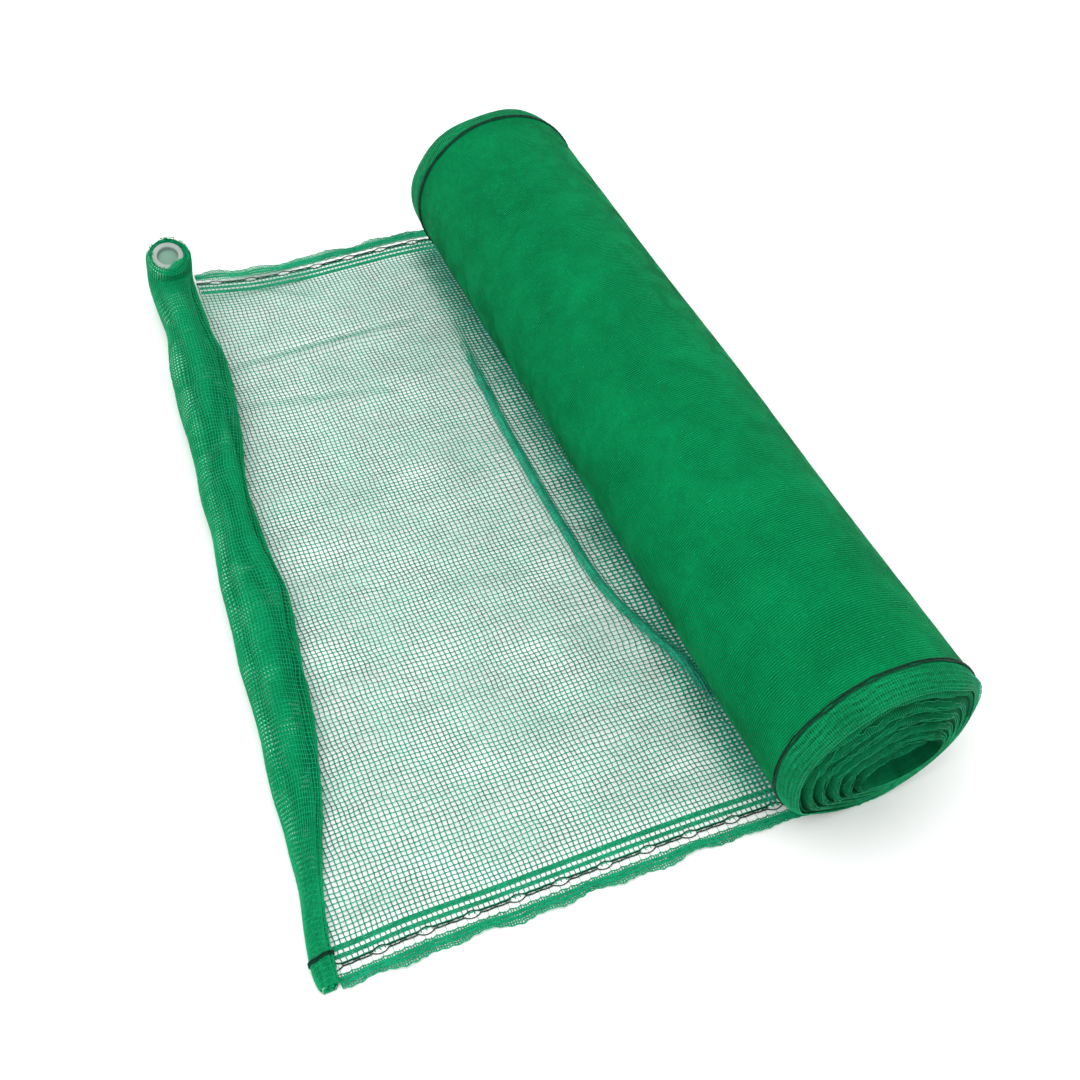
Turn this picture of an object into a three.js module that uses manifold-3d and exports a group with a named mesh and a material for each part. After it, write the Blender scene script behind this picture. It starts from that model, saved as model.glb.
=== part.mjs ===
// A roll of green debris netting with a run of its mesh laid out beside it, in millimetres, +Z up.
// Origin: on the floor under the middle of the roll. +Y is the roll's axis, toward its far end.
// The laid net lies toward -X, and its free end is wound into a loose strip round a short tube.
import * as THREE from 'three';
import { mergeVertices } from 'three/addons/utils/BufferGeometryUtils.js';
import Module from 'manifold-3d';

const wasm = await Module();
wasm.setup();

// Driving sizes
const CLOTH = 1.4;                 // thickness of the laid net and its edge bands
const GAP = 0.3;                   // clearance between two pieces that touch
const ROLL_RADIUS = 109;
const ROLL_LIFT = CLOTH + 0.4;     // the roll rests on the net that runs out from under it
const ROLL_CENTRE_Z = ROLL_LIFT + ROLL_RADIUS - 0.5;
const ROLL_STEPS = 40;             // points round the roll
const NEAR_CORD_Y = -474;          // where the edge cords show on the roll
const FAR_CORD_Y = 464;
const CORD_WIDTH = 5;              // the doubled edge cord lies flat, two strands side by side
const CORD_HEIGHT = 2;
const EDGE_WIDTH = 29.8;           // from the outer edge of the netting in to the laid net's solid
const CORD_INSET = 8;              // middle of the edge cord, from the dense band
const EYELET = { pitch: 46, length: 19, width: 6.6, rim: 1.7, steps: 6 };
const LIP = { x: 40, start: 8, gap: 1.5 };  // the laid net follows the roll's underside up to x
const NET = { near: -433, far: 540, end: -439, rows: 40, openColumns: 11 };  // end: no nearer under the roll
const TUBE = { outer: 20.5, bore: 13.5, length: 46, steps: 28 };
const PLUG = { radius: 13.1, depth: 6, thickness: 5 };
const WRAP = 8;                    // netting wound round the tube, thicker aside and behind
const WRAP_ASIDE = 1;
const WRAP_BACK = 3;

// Outer edges of the netting in plan. band is the width of the dense band, drawn in at the roll.
const NEAR_EDGE = [
  { x: -566, y: -455, band: 16 },
  { x: -540, y: -461, band: 16 },
  { x: -460, y: -460, band: 16 },
  { x: -380, y: -463, band: 16 },
  { x: -290, y: -465, band: 16 },
  { x: -200, y: -466, band: 15 },
  { x: -120, y: -468, band: 13 },
  { x: -70, y: -470, band: 11 },
  { x: -20, y: -479, band: 11 },
  { x: 40, y: -492, band: 11 },
  { x: 70, y: -497, band: 11 },
];
const FAR_EDGE = [
  { x: -430, y: 577, band: 15 },
  { x: -390, y: 573, band: 15 },
  { x: -330, y: 567, band: 15 },
  { x: -250, y: 567, band: 15 },
  { x: -170, y: 566, band: 15 },
  { x: -110, y: 564, band: 15 },
  { x: -60, y: 555, band: 14 },
  { x: 0, y: 526, band: 12 },
  { x: 40, y: 506, band: 11 },
  { x: 70, y: 497, band: 11 },
];

// Where the bands and eyelet cords begin and end, and the middle of each cord's first eyelet.
const NEAR_BAND = { from: -540, to: 34, steps: 52 };
const FAR_BAND = { from: -398, to: 34, steps: 40 };
const NEAR_CORD = { from: -536, to: -30, first: -496 };
const FAR_CORD = { from: -398, to: -34, first: -375 };

// The pinched fold beside the roll: x of its crest, and how high it stands.
const PINCH = [
  { y: -330, x: -76, height: 0 },
  { y: -262, x: -82, height: 3.5 },
  { y: -200, x: -101, height: 5.5 },
  { y: -130, x: -119, height: 6.5 },
  { y: -40, x: -124, height: 7 },
  { y: 110, x: -124, height: 7 },
  { y: 230, x: -118, height: 5.5 },
  { y: 310, x: -112, height: 3 },
  { y: 370, x: -108, height: 0 },
];
const PINCH_HALF_WIDTH = 11;

// Soft creases in the laid net, each from one end to the other.
const CREASES = [
  { x0: -418, y0: 386, x1: -140, y1: 384, height: 4.5, half: 13 },
  { x0: -392, y0: 548, x1: -262, y1: 484, height: 3.2, half: 12 },
  { x0: -425, y0: 318, x1: -215, y1: 268, height: 2.4, half: 15 },
];

// The wound free end: its middle line in plan, half its width and its height.
const STRIP = [
  { y: -458, x: -553, half: 6, height: 6 },
  { y: -453, x: -552.5, half: 9.5, height: 10.5 },
  { y: -436, x: -552, half: 10.9, height: 13 },
  { y: -400, x: -547, half: 10.7, height: 13 },
  { y: -356, x: -537.5, half: 11.5, height: 14 },
  { y: -314, x: -529, half: 16, height: 17 },
  { y: -270, x: -519, half: 22, height: 22 },
  { y: -222, x: -511, half: 26.5, height: 27 },
  { y: -172, x: -504, half: 29, height: 31 },
  { y: -118, x: -497, half: 31, height: 34 },
  { y: -62, x: -489.5, half: 33.5, height: 37 },
  { y: -4, x: -483, half: 34, height: 39 },
  { y: 52, x: -481, half: 31, height: 40 },
  { y: 106, x: -476, half: 27.3, height: 40 },
  { y: 164, x: -470.5, half: 27.3, height: 41 },
  { y: 222, x: -462.5, half: 29.5, height: 43 },
  { y: 274, x: -455, half: 32.7, height: 45 },
  { y: 328, x: -447.5, half: 35, height: 47 },
  { y: 384, x: -441.5, half: 35, height: 49 },
  { y: 430, x: -438, half: 29, height: 50 },
  { y: 480, x: -434, half: 27.3, height: 51 },
  { y: 530, x: -430, half: 27.6, height: 52 },
  { y: 566, x: -428, half: 26.5, height: 50 },
  { y: 590, x: -427, half: 18, height: 38 },
  { y: 599, x: -427, half: 9, height: 24 },
];
const STRIP_STEPS = 26;
const STRIP_CORD_Y = -427;         // where the edge cord crosses the strip

// The tube's mouth looks up and back toward the near end.
const MOUTH = new THREE.Vector3(-428, 556, 72);
const MOUTH_LEAN = THREE.MathUtils.degToRad(20);

// The turns on the roll's near end: share of the way in from the outside to the hollow, and y
// where the end stands proud. Low down it is nearly flush at NEAR_FLUSH_Y.
const NEAR_FLUSH_Y = -481;
const NEAR_TURNS = [
  { share: 0.000, y: -484 },
  { share: 0.050, y: -492 },
  { share: 0.110, y: -497 },
  { share: 0.135, y: -489 },
  { share: 0.250, y: -494 },
  { share: 0.275, y: -487 },
  { share: 0.400, y: -492 },
  { share: 0.430, y: -485 },
  { share: 0.560, y: -490 },
  { share: 0.590, y: -483 },
  { share: 0.730, y: -488 },
  { share: 0.765, y: -481 },
  { share: 0.930, y: -486 },
  { share: 1.000, y: -481 },
];
// The hollow left in the middle of the roll: its flattened section, narrowing as it goes in.
const HOLLOW_MOUTH = { x: 40, z: 43, half: 39, rise: 18 };
const HOLLOW = [
  { y: -470, x: 39, z: 45, half: 38, rise: 16 },
  { y: -440, x: 37, z: 49, half: 36, rise: 14 },
  { y: -380, x: 34, z: 54, half: 32, rise: 11 },
  { y: -320, x: 32, z: 57, half: 28, rise: 9 },
];
const HOLLOW_TILT = THREE.MathUtils.degToRad(9);
// The far end is pressed nearly flat, with shallow turns. radius is the share of the roll's own.
const FAR_REACH = 18;              // how much further it reaches on the side of the laid net
const FAR_TURNS = [
  { radius: 0.995, y: 474 },
  { radius: 0.975, y: 484 },
  { radius: 0.925, y: 493 },
  { radius: 0.850, y: 497 },
  { radius: 0.820, y: 491 },
  { radius: 0.640, y: 497 },
  { radius: 0.610, y: 491 },
  { radius: 0.420, y: 496 },
  { radius: 0.380, y: 489 },
  { radius: 0.180, y: 490 },
];

// Value of a column of a table at a place, smooth between the rows.
function along(table, key, place, column) {
  const last = table.length - 1;
  if (place <= table[0][key]) return table[0][column];
  if (place >= table[last][key]) return table[last][column];
  const i = table.findIndex((row) => row[key] > place) - 1;
  const a = table[i];
  const b = table[i + 1];
  const slope = (j) => {
    const p = table[Math.max(j - 1, 0)];
    const q = table[Math.min(j + 1, last)];
    return (q[column] - p[column]) / (q[key] - p[key]);
  };
  const span = b[key] - a[key];
  const t = (place - a[key]) / span;
  const bend = t * (1 - t);
  const straight = a[column] + (b[column] - a[column]) * t;
  const rise = (b[column] - a[column]) / span;
  return straight + bend * span * ((slope(i) - rise) * (1 - t) - (slope(i + 1) - rise) * t);
}

const smooth = (t) => THREE.MathUtils.smoothstep(t, 0, 1);

// A closed body from rings of points, with a middle point at each end.
function loft(rings) {
  const count = rings[0].length;
  const points = rings.flat();
  const faces = [];
  for (let i = 0; i + 1 < rings.length; i++) {
    for (let j = 0; j < count; j++) {
      const k = (j + 1) % count;
      const a = i * count + j;
      const b = i * count + k;
      faces.push(a, b, b + count, a, b + count, a + count);
    }
  }
  const middle = (ring) => ring.reduce((s, p) => s.map((v, n) => v + p[n] / count), [0, 0, 0]);
  const first = points.push(middle(rings[0])) - 1;
  const end = points.push(middle(rings.at(-1))) - 1;
  const start = (rings.length - 1) * count;
  for (let j = 0; j < count; j++) {
    const k = (j + 1) % count;
    faces.push(first, k, j, end, start + j, start + k);
  }
  return body(points, faces);
}

// A closed sheet from a grid of places: place(i, j) gives x, y and the height of its underside.
function sheet(columns, rows, place, thickness) {
  const points = [];
  for (const top of [0, 1]) {
    for (let i = 0; i <= columns; i++) {
      for (let j = 0; j <= rows; j++) {
        const [x, y, z] = place(i, j);
        points.push([x, y, z + top * thickness]);
      }
    }
  }
  const layer = (columns + 1) * (rows + 1);
  const at = (i, j, top) => top * layer + i * (rows + 1) + j;
  const faces = [];
  const quad = (a, b, c, d) => faces.push(a, b, c, a, c, d);
  for (let i = 0; i < columns; i++) {
    for (let j = 0; j < rows; j++) {
      quad(at(i, j, 1), at(i + 1, j, 1), at(i + 1, j + 1, 1), at(i, j + 1, 1));
      quad(at(i, j, 0), at(i, j + 1, 0), at(i + 1, j + 1, 0), at(i + 1, j, 0));
    }
    quad(at(i, 0, 0), at(i + 1, 0, 0), at(i + 1, 0, 1), at(i, 0, 1));
    quad(at(i + 1, rows, 0), at(i, rows, 0), at(i, rows, 1), at(i + 1, rows, 1));
  }
  for (let j = 0; j < rows; j++) {
    quad(at(0, j + 1, 0), at(0, j, 0), at(0, j, 1), at(0, j + 1, 1));
    quad(at(columns, j, 0), at(columns, j + 1, 0), at(columns, j + 1, 1), at(columns, j, 1));
  }
  return body(points, faces);
}

// The faces are turned to point outwards.
function body(points, faces) {
  const corner = (i) => new THREE.Vector3(...points[faces[i]]);
  let volume = 0;
  for (let i = 0; i < faces.length; i += 3) volume += corner(i).dot(corner(i + 1).cross(corner(i + 2)));
  if (volume < 0) faces.reverse();
  const geometry = new THREE.BufferGeometry();
  geometry.setAttribute('position', new THREE.Float32BufferAttribute(points.flat(), 3));
  geometry.setIndex(faces);
  return geometry;
}

// Booleans on closed bodies
function solid(geometry) {
  const bare = geometry.clone();
  bare.deleteAttribute('normal');
  bare.deleteAttribute('uv');
  const merged = mergeVertices(bare, 1e-3);
  return new wasm.Manifold(new wasm.Mesh({
    numProp: 3,
    vertProperties: new Float32Array(merged.attributes.position.array),
    triVerts: new Uint32Array(merged.index.array),
  }));
}

function fromSolid(manifold) {
  const mesh = manifold.getMesh();
  const geometry = new THREE.BufferGeometry();
  geometry.setAttribute('position', new THREE.BufferAttribute(new Float32Array(mesh.vertProperties), 3));
  geometry.setIndex(new THREE.BufferAttribute(new Uint32Array(mesh.triVerts), 1));
  return geometry;
}

// The roll's own radius: wound a little unevenly, and fuller over the stacked edge cords.
function rollRadius(turn, y) {
  const uneven = 0.5 * Math.sin(3 * turn + y * 0.011) + 0.4 * Math.sin(2 * turn - y * 0.017);
  const cords = [NEAR_CORD_Y, FAR_CORD_Y].reduce((s, c) => s + Math.exp(-(((y - c) / 14) ** 2)), 0);
  return ROLL_RADIUS - 0.9 + uneven + 0.7 * cords;
}

function rollPoint(turn, y, share = 1, out = 0) {
  const r = rollRadius(turn, y) * share + out;
  const z = ROLL_CENTRE_Z + r * Math.sin(turn);
  return [r * Math.cos(turn), y, Math.max(z, ROLL_LIFT)];
}

const turnAt = (j) => (j / ROLL_STEPS) * 2 * Math.PI;

function hollowPoint(section, turn, y) {
  const u = section.half * Math.cos(turn);
  const v = section.rise * Math.sin(turn);
  const x = section.x + u * Math.cos(HOLLOW_TILT) - v * Math.sin(HOLLOW_TILT);
  return [x, y, section.z + u * Math.sin(HOLLOW_TILT) + v * Math.cos(HOLLOW_TILT)];
}

// How far the near end stands proud: 1 at the top and toward the laid net, little low down.
function proud(turn) {
  const toward = Math.cos(turn - THREE.MathUtils.degToRad(125));
  return 0.15 + 0.85 * smooth((toward + 0.45) / 0.85);
}

// The wound roll, from the bottom of its hollow out over the near end and along to the far end.
function mainRoll() {
  const rings = [];
  const ring = (place) => rings.push(Array.from({ length: ROLL_STEPS }, (_, j) => place(turnAt(j))));
  for (const section of [...HOLLOW].reverse()) ring((turn) => hollowPoint(section, turn, section.y));
  for (const row of [...NEAR_TURNS].reverse()) {
    ring((turn) => {
      const outer = rollPoint(turn, NEAR_TURNS[0].y);
      const inner = hollowPoint(HOLLOW_MOUTH, turn, 0);
      const mix = (n) => THREE.MathUtils.lerp(outer[n], inner[n], row.share);
      const ripple = 1.5 * Math.sin(5 * turn) * Math.sin(Math.PI * row.share);
      return [mix(0), NEAR_FLUSH_Y + proud(turn) * (row.y - NEAR_FLUSH_Y + ripple), mix(2)];
    });
  }
  const spans = [NEAR_CORD_Y, -462, -380, -280, -170, -60, 60, 170, 280, 380, 455, FAR_CORD_Y];
  for (const y of spans) ring((turn) => rollPoint(turn, y));
  for (const row of FAR_TURNS) {
    const reach = (turn) => FAR_REACH * Math.max(0, -Math.cos(turn - 0.15)) ** 2 * row.radius;
    const wave = (turn) => 2.2 * Math.sin(6 * turn + 1) * row.radius + reach(turn);
    ring((turn) => rollPoint(turn, row.y, row.radius).map((v, n) => (n === 1 ? v + wave(turn) : v)));
  }
  return loft(rings);
}

// The doubled edge cord where it shows on the roll, left open underneath.
function rollCord(y) {
  const first = -5;
  const last = 27;
  const rings = [];
  for (let j = first; j <= last; j++) {
    const lift = j === first || j === last ? 0.4 : 1;
    const low = (dy) => rollPoint(turnAt(j), y, 1, GAP).map((v, n) => (n === 1 ? v + dy : v));
    const high = (dy) => rollPoint(turnAt(j), y, 1, GAP + 1.5 * lift).map((v, n) => (n === 1 ? v + dy : v));
    const half = CORD_WIDTH / 2;
    rings.push([low(-half), low(half), high(half * 0.9), high(0.5), high(-0.5), high(-half * 0.9)]);
  }
  return loft(rings);
}

// Height of the underside of the laid net: the floor, its folds, and the roll's own underside.
function pinchAt(x, y) {
  const off = (x - along(PINCH, 'y', y, 'x')) / PINCH_HALF_WIDTH;
  return Math.abs(off) < 1 ? along(PINCH, 'y', y, 'height') * (1 - Math.abs(off)) ** 1.3 : 0;
}

function creaseAt(crease, x, y) {
  const dx = crease.x1 - crease.x0;
  const dy = crease.y1 - crease.y0;
  const length = Math.hypot(dx, dy);
  const t = ((x - crease.x0) * dx + (y - crease.y0) * dy) / length ** 2;
  const off = Math.abs((x - crease.x0) * dy - (y - crease.y0) * dx) / length / crease.half;
  if (t <= 0 || t >= 1 || off >= 1) return 0;
  return crease.height * Math.sin(Math.PI * t) ** 0.6 * (0.5 + 0.5 * Math.cos(Math.PI * off));
}

// The far corner rises toward the strip that it is wound on.
function cornerLift(x, y) {
  const toStrip = THREE.MathUtils.clamp((-x - 235) / 165, 0, 1.2);
  return 17 * toStrip ** 1.5 * smooth((y - 400) / 150);
}

function underRoll(x) {
  if (x <= LIP.start) return 0;
  const r = ROLL_RADIUS + CLOTH + LIP.gap;
  return Math.max(0, ROLL_CENTRE_Z - Math.sqrt(r * r - x * x));
}

function floorHeight(x, y) {
  const folds = CREASES.reduce((s, crease) => s + creaseAt(crease, x, y), 0);
  return underRoll(x) + pinchAt(x, y) + folds + cornerLift(x, y);
}

// The strip's side that the laid net meets, a little further out where the net is lifted.
function netBorder(y) {
  const x = along(STRIP, 'y', y, 'x');
  const half = along(STRIP, 'y', y, 'half');
  return x + half * 0.82 + 0.016 * half * cornerLift(x + half, y) + 1.8;
}

const nearEdge = (x) => along(NEAR_EDGE, 'x', x, 'y');
const farEdge = (x) => along(FAR_EDGE, 'x', x, 'y');

// The laid net. Columns follow the lip under the roll, the pinched fold and then the open run.
function netSheet() {
  const lip = [LIP.x, 30, 18, -20];
  const fold = [PINCH_HALF_WIDTH, 4, 0, -4, -PINCH_HALF_WIDTH];
  const columns = lip.length + fold.length + NET.openColumns;
  const place = (i, j) => {
    const share = j / NET.rows;
    const guess = THREE.MathUtils.lerp(NET.near, NET.far, share);
    const crest = along(PINCH, 'y', guess, 'x');
    let x;
    if (i < lip.length) x = lip[i];
    else if (i === lip.length) x = (lip.at(-1) + crest + PINCH_HALF_WIDTH) / 2;
    else if (i <= lip.length + fold.length) x = crest + fold[i - lip.length - 1];
    else {
      const t = (i - lip.length - fold.length) / NET.openColumns;
      x = THREE.MathUtils.lerp(crest - PINCH_HALF_WIDTH, netBorder(guess), t);
    }
    const start = Math.max(nearEdge(x) + EDGE_WIDTH, NET.end);
    const y = THREE.MathUtils.lerp(start, farEdge(x) - EDGE_WIDTH, share);
    return [x, y, floorHeight(x, y)];
  };
  return sheet(columns, NET.rows, (i, j) => place(columns - i, j), CLOTH);
}

// The dense outer band, with its ruffled edge. side is -1 at the near edge and 1 at the far one.
function edgeBand(table, side, { from, to, steps }) {
  const place = (i, j) => {
    const x = THREE.MathUtils.lerp(from, to, i / steps);
    const free = smooth((-70 - x) / 60);
    const across = side > 0 ? j / 2 : 1 - j / 2;
    const ruffle = free * across * (1.4 * Math.sin(x * 0.115) + 0.9 * Math.sin(x * 0.053 + 1));
    const width = along(table, 'x', x, 'band');
    const y = along(table, 'x', x, 'y') + side * (ruffle - width * (1 - across));
    const curl = free * across * (1.3 + 1.3 * Math.sin(x * 0.085 + 2 * side));
    return [x, y, underRoll(x) + curl + cornerLift(x, y)];
  };
  return sheet(steps, 2, place, CLOTH);
}

// The doubled edge cord of the laid net: two strands that part round each eyelet.
function eyeletCord(table, side, { from, to, first }) {
  const centre = (x) => along(table, 'x', x, 'y') - side * (along(table, 'x', x, 'band') + CORD_INSET);
  const bar = (x0, x1, low, high, steps) => {
    const rings = [];
    for (let i = 0; i <= steps; i++) {
      const x = THREE.MathUtils.lerp(x0, x1, i / steps);
      const y = centre(x);
      const z = cornerLift(x, y) + underRoll(x);
      const [a, b] = [y + low(x), y + high(x)];
      rings.push([[x, a, z], [x, b, z], [x, b, z + CORD_HEIGHT], [x, a, z + CORD_HEIGHT]]);
    }
    return solid(loft(rings));
  };
  const half = CORD_WIDTH / 2;
  const lens = EYELET.length / 2;
  const parts = [];
  let start = from;
  for (let x = first; x + lens < to - 4; x += EYELET.pitch) {
    parts.push(bar(start, x - lens, () => -half, () => half, 2));
    const swell = (p) => Math.max(0, 1 - ((p - x) / lens) ** 2);
    const inner = (p) => (EYELET.width / 2) * swell(p);
    const outer = (p) => Math.max(half, inner(p) + EYELET.rim);
    parts.push(bar(x - lens, x + lens, (p) => -outer(p), outer, EYELET.steps));
    const hole = [];
    const reach = lens * 0.96;
    for (let i = 0; i <= EYELET.steps; i++) {
      const p = x + THREE.MathUtils.lerp(-reach, reach, i / EYELET.steps);
      const y = centre(p);
      const w = Math.max(0.25, inner(p));
      const z = cornerLift(p, y);
      hole.push([[p, y - w, z - 3], [p, y + w, z - 3], [p, y + w, z + 5], [p, y - w, z + 5]]);
    }
    parts[parts.length - 1] = parts.at(-1).subtract(solid(loft(hole)));
    start = x + lens;
  }
  parts.push(bar(start, to, () => -half, () => half, 3));
  return fromSolid(parts.reduce((a, b) => a.add(b)));
}

// A section of the wound strip: an oval that sits flat on the floor, with soft lobes.
function stripPoint(y, turn, out = 0) {
  const half = along(STRIP, 'y', y, 'half') + out;
  const height = along(STRIP, 'y', y, 'height') + 2 * out;
  const lobe = 1 + 0.03 * Math.sin(3 * turn + y * 0.03) + 0.025 * Math.sin(5 * turn - y * 0.047);
  const x = along(STRIP, 'y', y, 'x') + half * lobe * Math.cos(turn);
  const z = height / 2 + (height / 2) * (1.02 * lobe) * Math.sin(turn);
  return [x, y, Math.max(z, 0)];
}

const stripTurn = (j) => (j / STRIP_STEPS) * 2 * Math.PI;

// The tube's frame: +Z out of its mouth.
function inTube(geometry, aside = 0, back = 0) {
  geometry.translate(aside, 0, -back);
  geometry.rotateX(Math.PI / 2);
  geometry.rotateX(MOUTH_LEAN);
  return geometry.translate(MOUTH.x, MOUTH.y, MOUTH.z);
}

// A turned body from radius and distance along the tube, zero at its mouth.
function turned(profile, aside, back) {
  const outline = profile.map(([r, h]) => new THREE.Vector2(r, h));
  return inTube(new THREE.LatheGeometry(outline, TUBE.steps), aside, back);
}

function freeEndRoll() {
  const rings = [];
  const first = STRIP[0].y;
  const last = STRIP.at(-1).y;
  const places = [first, -453, -441, -430, -424, -405];
  for (let y = -370; y < 560; y += 31) places.push(y);
  places.push(566, 582, 593, last);
  for (const y of places) {
    rings.push(Array.from({ length: STRIP_STEPS }, (_, j) => stripPoint(y, -stripTurn(j))));
  }
  const outer = TUBE.outer + WRAP;
  const wrap = turned([[0, -52], [outer - 3, -52], [outer, -30], [outer + 0.5, -12], [outer - 0.6, -4],
    [outer - 3.4, -0.8], [TUBE.outer + 2.4, -0.6], [TUBE.outer + GAP, -2.2], [0, -2.2]], WRAP_ASIDE, WRAP_BACK);
  const floor = new THREE.BoxGeometry(200, 200, 60).translate(MOUTH.x, MOUTH.y, -30);
  const socket = turned([[0, -TUBE.length - GAP], [TUBE.outer + GAP, -TUBE.length - GAP],
    [TUBE.outer + GAP, 6], [0, 6]]);
  return fromSolid(solid(loft(rings)).add(solid(wrap).subtract(solid(floor))).subtract(solid(socket)));
}

// The edge cord where it crosses the strip's near end.
function freeEndCord() {
  const rings = [];
  const clear = 1.6;
  for (let j = -2; j <= 15; j++) {
    const turn = stripTurn(j);
    const slant = 2 * Math.cos(turn);
    const edge = (dy, out) => {
      const [x, , z] = stripPoint(STRIP_CORD_Y + dy, turn, out);
      return [x, STRIP_CORD_Y + dy + slant, z];
    };
    const high = j === -2 || j === 15 ? 0.9 : 2;
    rings.push([edge(-2, clear), edge(2, clear), edge(1.4, clear + high), edge(-1.4, clear + high)]);
  }
  return loft(rings);
}

const coreTube = () => turned([[TUBE.bore, -TUBE.length], [TUBE.outer, -TUBE.length], [TUBE.outer, -1],
  [TUBE.outer - 1, 0], [TUBE.bore + 0.8, 0], [TUBE.bore, -0.8], [TUBE.bore, -TUBE.length]]);

const corePlug = () => turned([[0, -PLUG.depth - PLUG.thickness], [PLUG.radius, -PLUG.depth - PLUG.thickness],
  [PLUG.radius, -PLUG.depth], [0, -PLUG.depth]]);

const finish = (color, roughness) => new THREE.MeshStandardMaterial({ color, roughness, metalness: 0 });
const MATERIALS = {
  wound: () => finish(0x007d44, 0.75),
  mesh: () => finish(0x2f8f68, 0.7),
  band: () => finish(0x089a62, 0.7),
  cord: () => finish(0x10241c, 0.7),
  tube: () => finish(0xc9cfc9, 0.5),
};

const roll = new THREE.Group();
function piece(name, geometry, material) {
  const mesh = new THREE.Mesh(geometry, material());
  mesh.name = name;
  roll.add(mesh);
}

piece('main_roll', mainRoll(), MATERIALS.wound);
piece('roll_cord_near', rollCord(NEAR_CORD_Y), MATERIALS.cord);
piece('roll_cord_far', rollCord(FAR_CORD_Y), MATERIALS.cord);
piece('net_sheet', netSheet(), MATERIALS.mesh);
piece('edge_band_near', edgeBand(NEAR_EDGE, -1, NEAR_BAND), MATERIALS.band);
piece('edge_band_far', edgeBand(FAR_EDGE, 1, FAR_BAND), MATERIALS.band);
piece('eyelet_cord_near', eyeletCord(NEAR_EDGE, -1, NEAR_CORD), MATERIALS.cord);
piece('eyelet_cord_far', eyeletCord(FAR_EDGE, 1, FAR_CORD), MATERIALS.cord);
piece('free_end_roll', freeEndRoll(), MATERIALS.band);
piece('free_end_cord', freeEndCord(), MATERIALS.cord);
piece('core_tube', coreTube(), MATERIALS.tube);
piece('core_plug', corePlug(), MATERIALS.tube);

export default roll;
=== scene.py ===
"""Looks of a roll of green debris netting, with a run of its mesh laid out beside it."""
import math
import bpy
import numpy as np
from numpy.random import default_rng
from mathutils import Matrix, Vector


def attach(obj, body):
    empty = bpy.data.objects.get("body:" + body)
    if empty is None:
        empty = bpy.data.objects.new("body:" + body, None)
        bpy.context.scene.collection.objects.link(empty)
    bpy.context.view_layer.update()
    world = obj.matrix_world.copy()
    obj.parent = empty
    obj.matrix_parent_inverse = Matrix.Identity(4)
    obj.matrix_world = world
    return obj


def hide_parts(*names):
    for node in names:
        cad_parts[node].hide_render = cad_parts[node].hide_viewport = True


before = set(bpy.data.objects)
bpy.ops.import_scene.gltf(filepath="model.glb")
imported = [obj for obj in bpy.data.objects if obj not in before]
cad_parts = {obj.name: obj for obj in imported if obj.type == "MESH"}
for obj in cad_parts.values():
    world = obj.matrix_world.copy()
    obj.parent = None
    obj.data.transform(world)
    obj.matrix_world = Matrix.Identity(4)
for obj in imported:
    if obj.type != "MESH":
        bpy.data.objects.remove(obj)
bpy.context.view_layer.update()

# Sizes are in millimetres, as in the part's source, and become metres when a mesh is made.
MM = 0.001
FULL_TURN = 2 * math.pi
ROLL_RADIUS = 109
ROLL_LIFT = 1.8
ROLL_CENTRE_Z = ROLL_LIFT + ROLL_RADIUS - 0.5
NEAR_CORD_Y = -474
FAR_CORD_Y = 464
NEAR_FLUSH_Y = -481
FAR_REACH = 18  # how much further the far end reaches on the side of the laid net
STRIP_CORD_Y = -427
WALK_BEND = 468  # the strip begins to turn up toward the tube
WALK_END = 600
HEEL_REACH = 98  # the pull of its bend along the floor
MOUTH_REACH = 55  # and the pull out of the tube's mouth
MOUTH = np.array([-428.0, 556.0, 72.0])
MOUTH_LEAN = math.radians(20)
TUBE_OUTER = 20.5
WRAP = 8
WRAP_ASIDE = 1
WRAP_BACK = 3
# The netting's own sizes
PITCH = 5.3  # one cell
STITCH = PITCH / 2  # one stitch in the dense bands, and one rib on the wound netting
BAND_WIDTH = 16  # the dense outer band at its full width
CORD_INSET = 8  # middle of the edge cord, from the dense band
EYELET_PITCH = 46
EYELET_HALF_LENGTH = 9.5
EYELET_HALF_WIDTH = 3.3
NEAR_FIRST_EYELET = -496
FAR_FIRST_EYELET = -375
INNER_TAPE = (44.6, 43.1, 41.6, 40.1)  # rows of stitches, from the outer edge
OUTER_TAPE = (35.0, 33.4, 31.8)
FIRST_COLUMN_X = 33.5  # the laid net's first thread, out of sight under the roll
NET_WIDTH = 1032  # the laid net, from outer edge to outer edge
CORNER_LIFT = 17  # the netting's far corner is lifted beside the tube
LIFT_OFF_X = 8  # from here on the netting rises round the roll
EDGE_END_X = 34  # the edges' last threads under the roll


def table(columns, *rows):
    """A short table with named columns."""
    return {name: np.array(column, float) for name, column in zip(columns.split(), zip(*rows))}


# Outer edges of the netting in plan. band is the width of the dense band, drawn in at the roll.
NEAR_EDGE = table(
    "x y band",
    (-566, -455, 16), (-540, -461, 16), (-460, -460, 16), (-380, -463, 16), (-290, -465, 16),
    (-200, -466, 15), (-120, -468, 13), (-70, -470, 11), (-20, -479, 11), (40, -492, 11), (70, -497, 11))
FAR_EDGE = table(
    "x y band",
    (-430, 577, 15), (-390, 573, 15), (-330, 567, 15), (-250, 567, 15), (-170, 566, 15), (-110, 564, 15),
    (-60, 555, 14), (0, 526, 12), (40, 506, 11), (70, 497, 11))
# The crest of the pinched fold beside the roll.
PINCH = table(
    "y x height",
    (-330, -76, 0), (-262, -82, 3.5), (-200, -101, 5.5), (-130, -119, 6.5), (-40, -124, 7), (110, -124, 7),
    (230, -118, 5.5), (310, -112, 3), (370, -108, 0))
PINCH_HALF_WIDTH = 11
PINCH_FULL = 6.5  # the fold's height where its threads are drawn closest together
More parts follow.
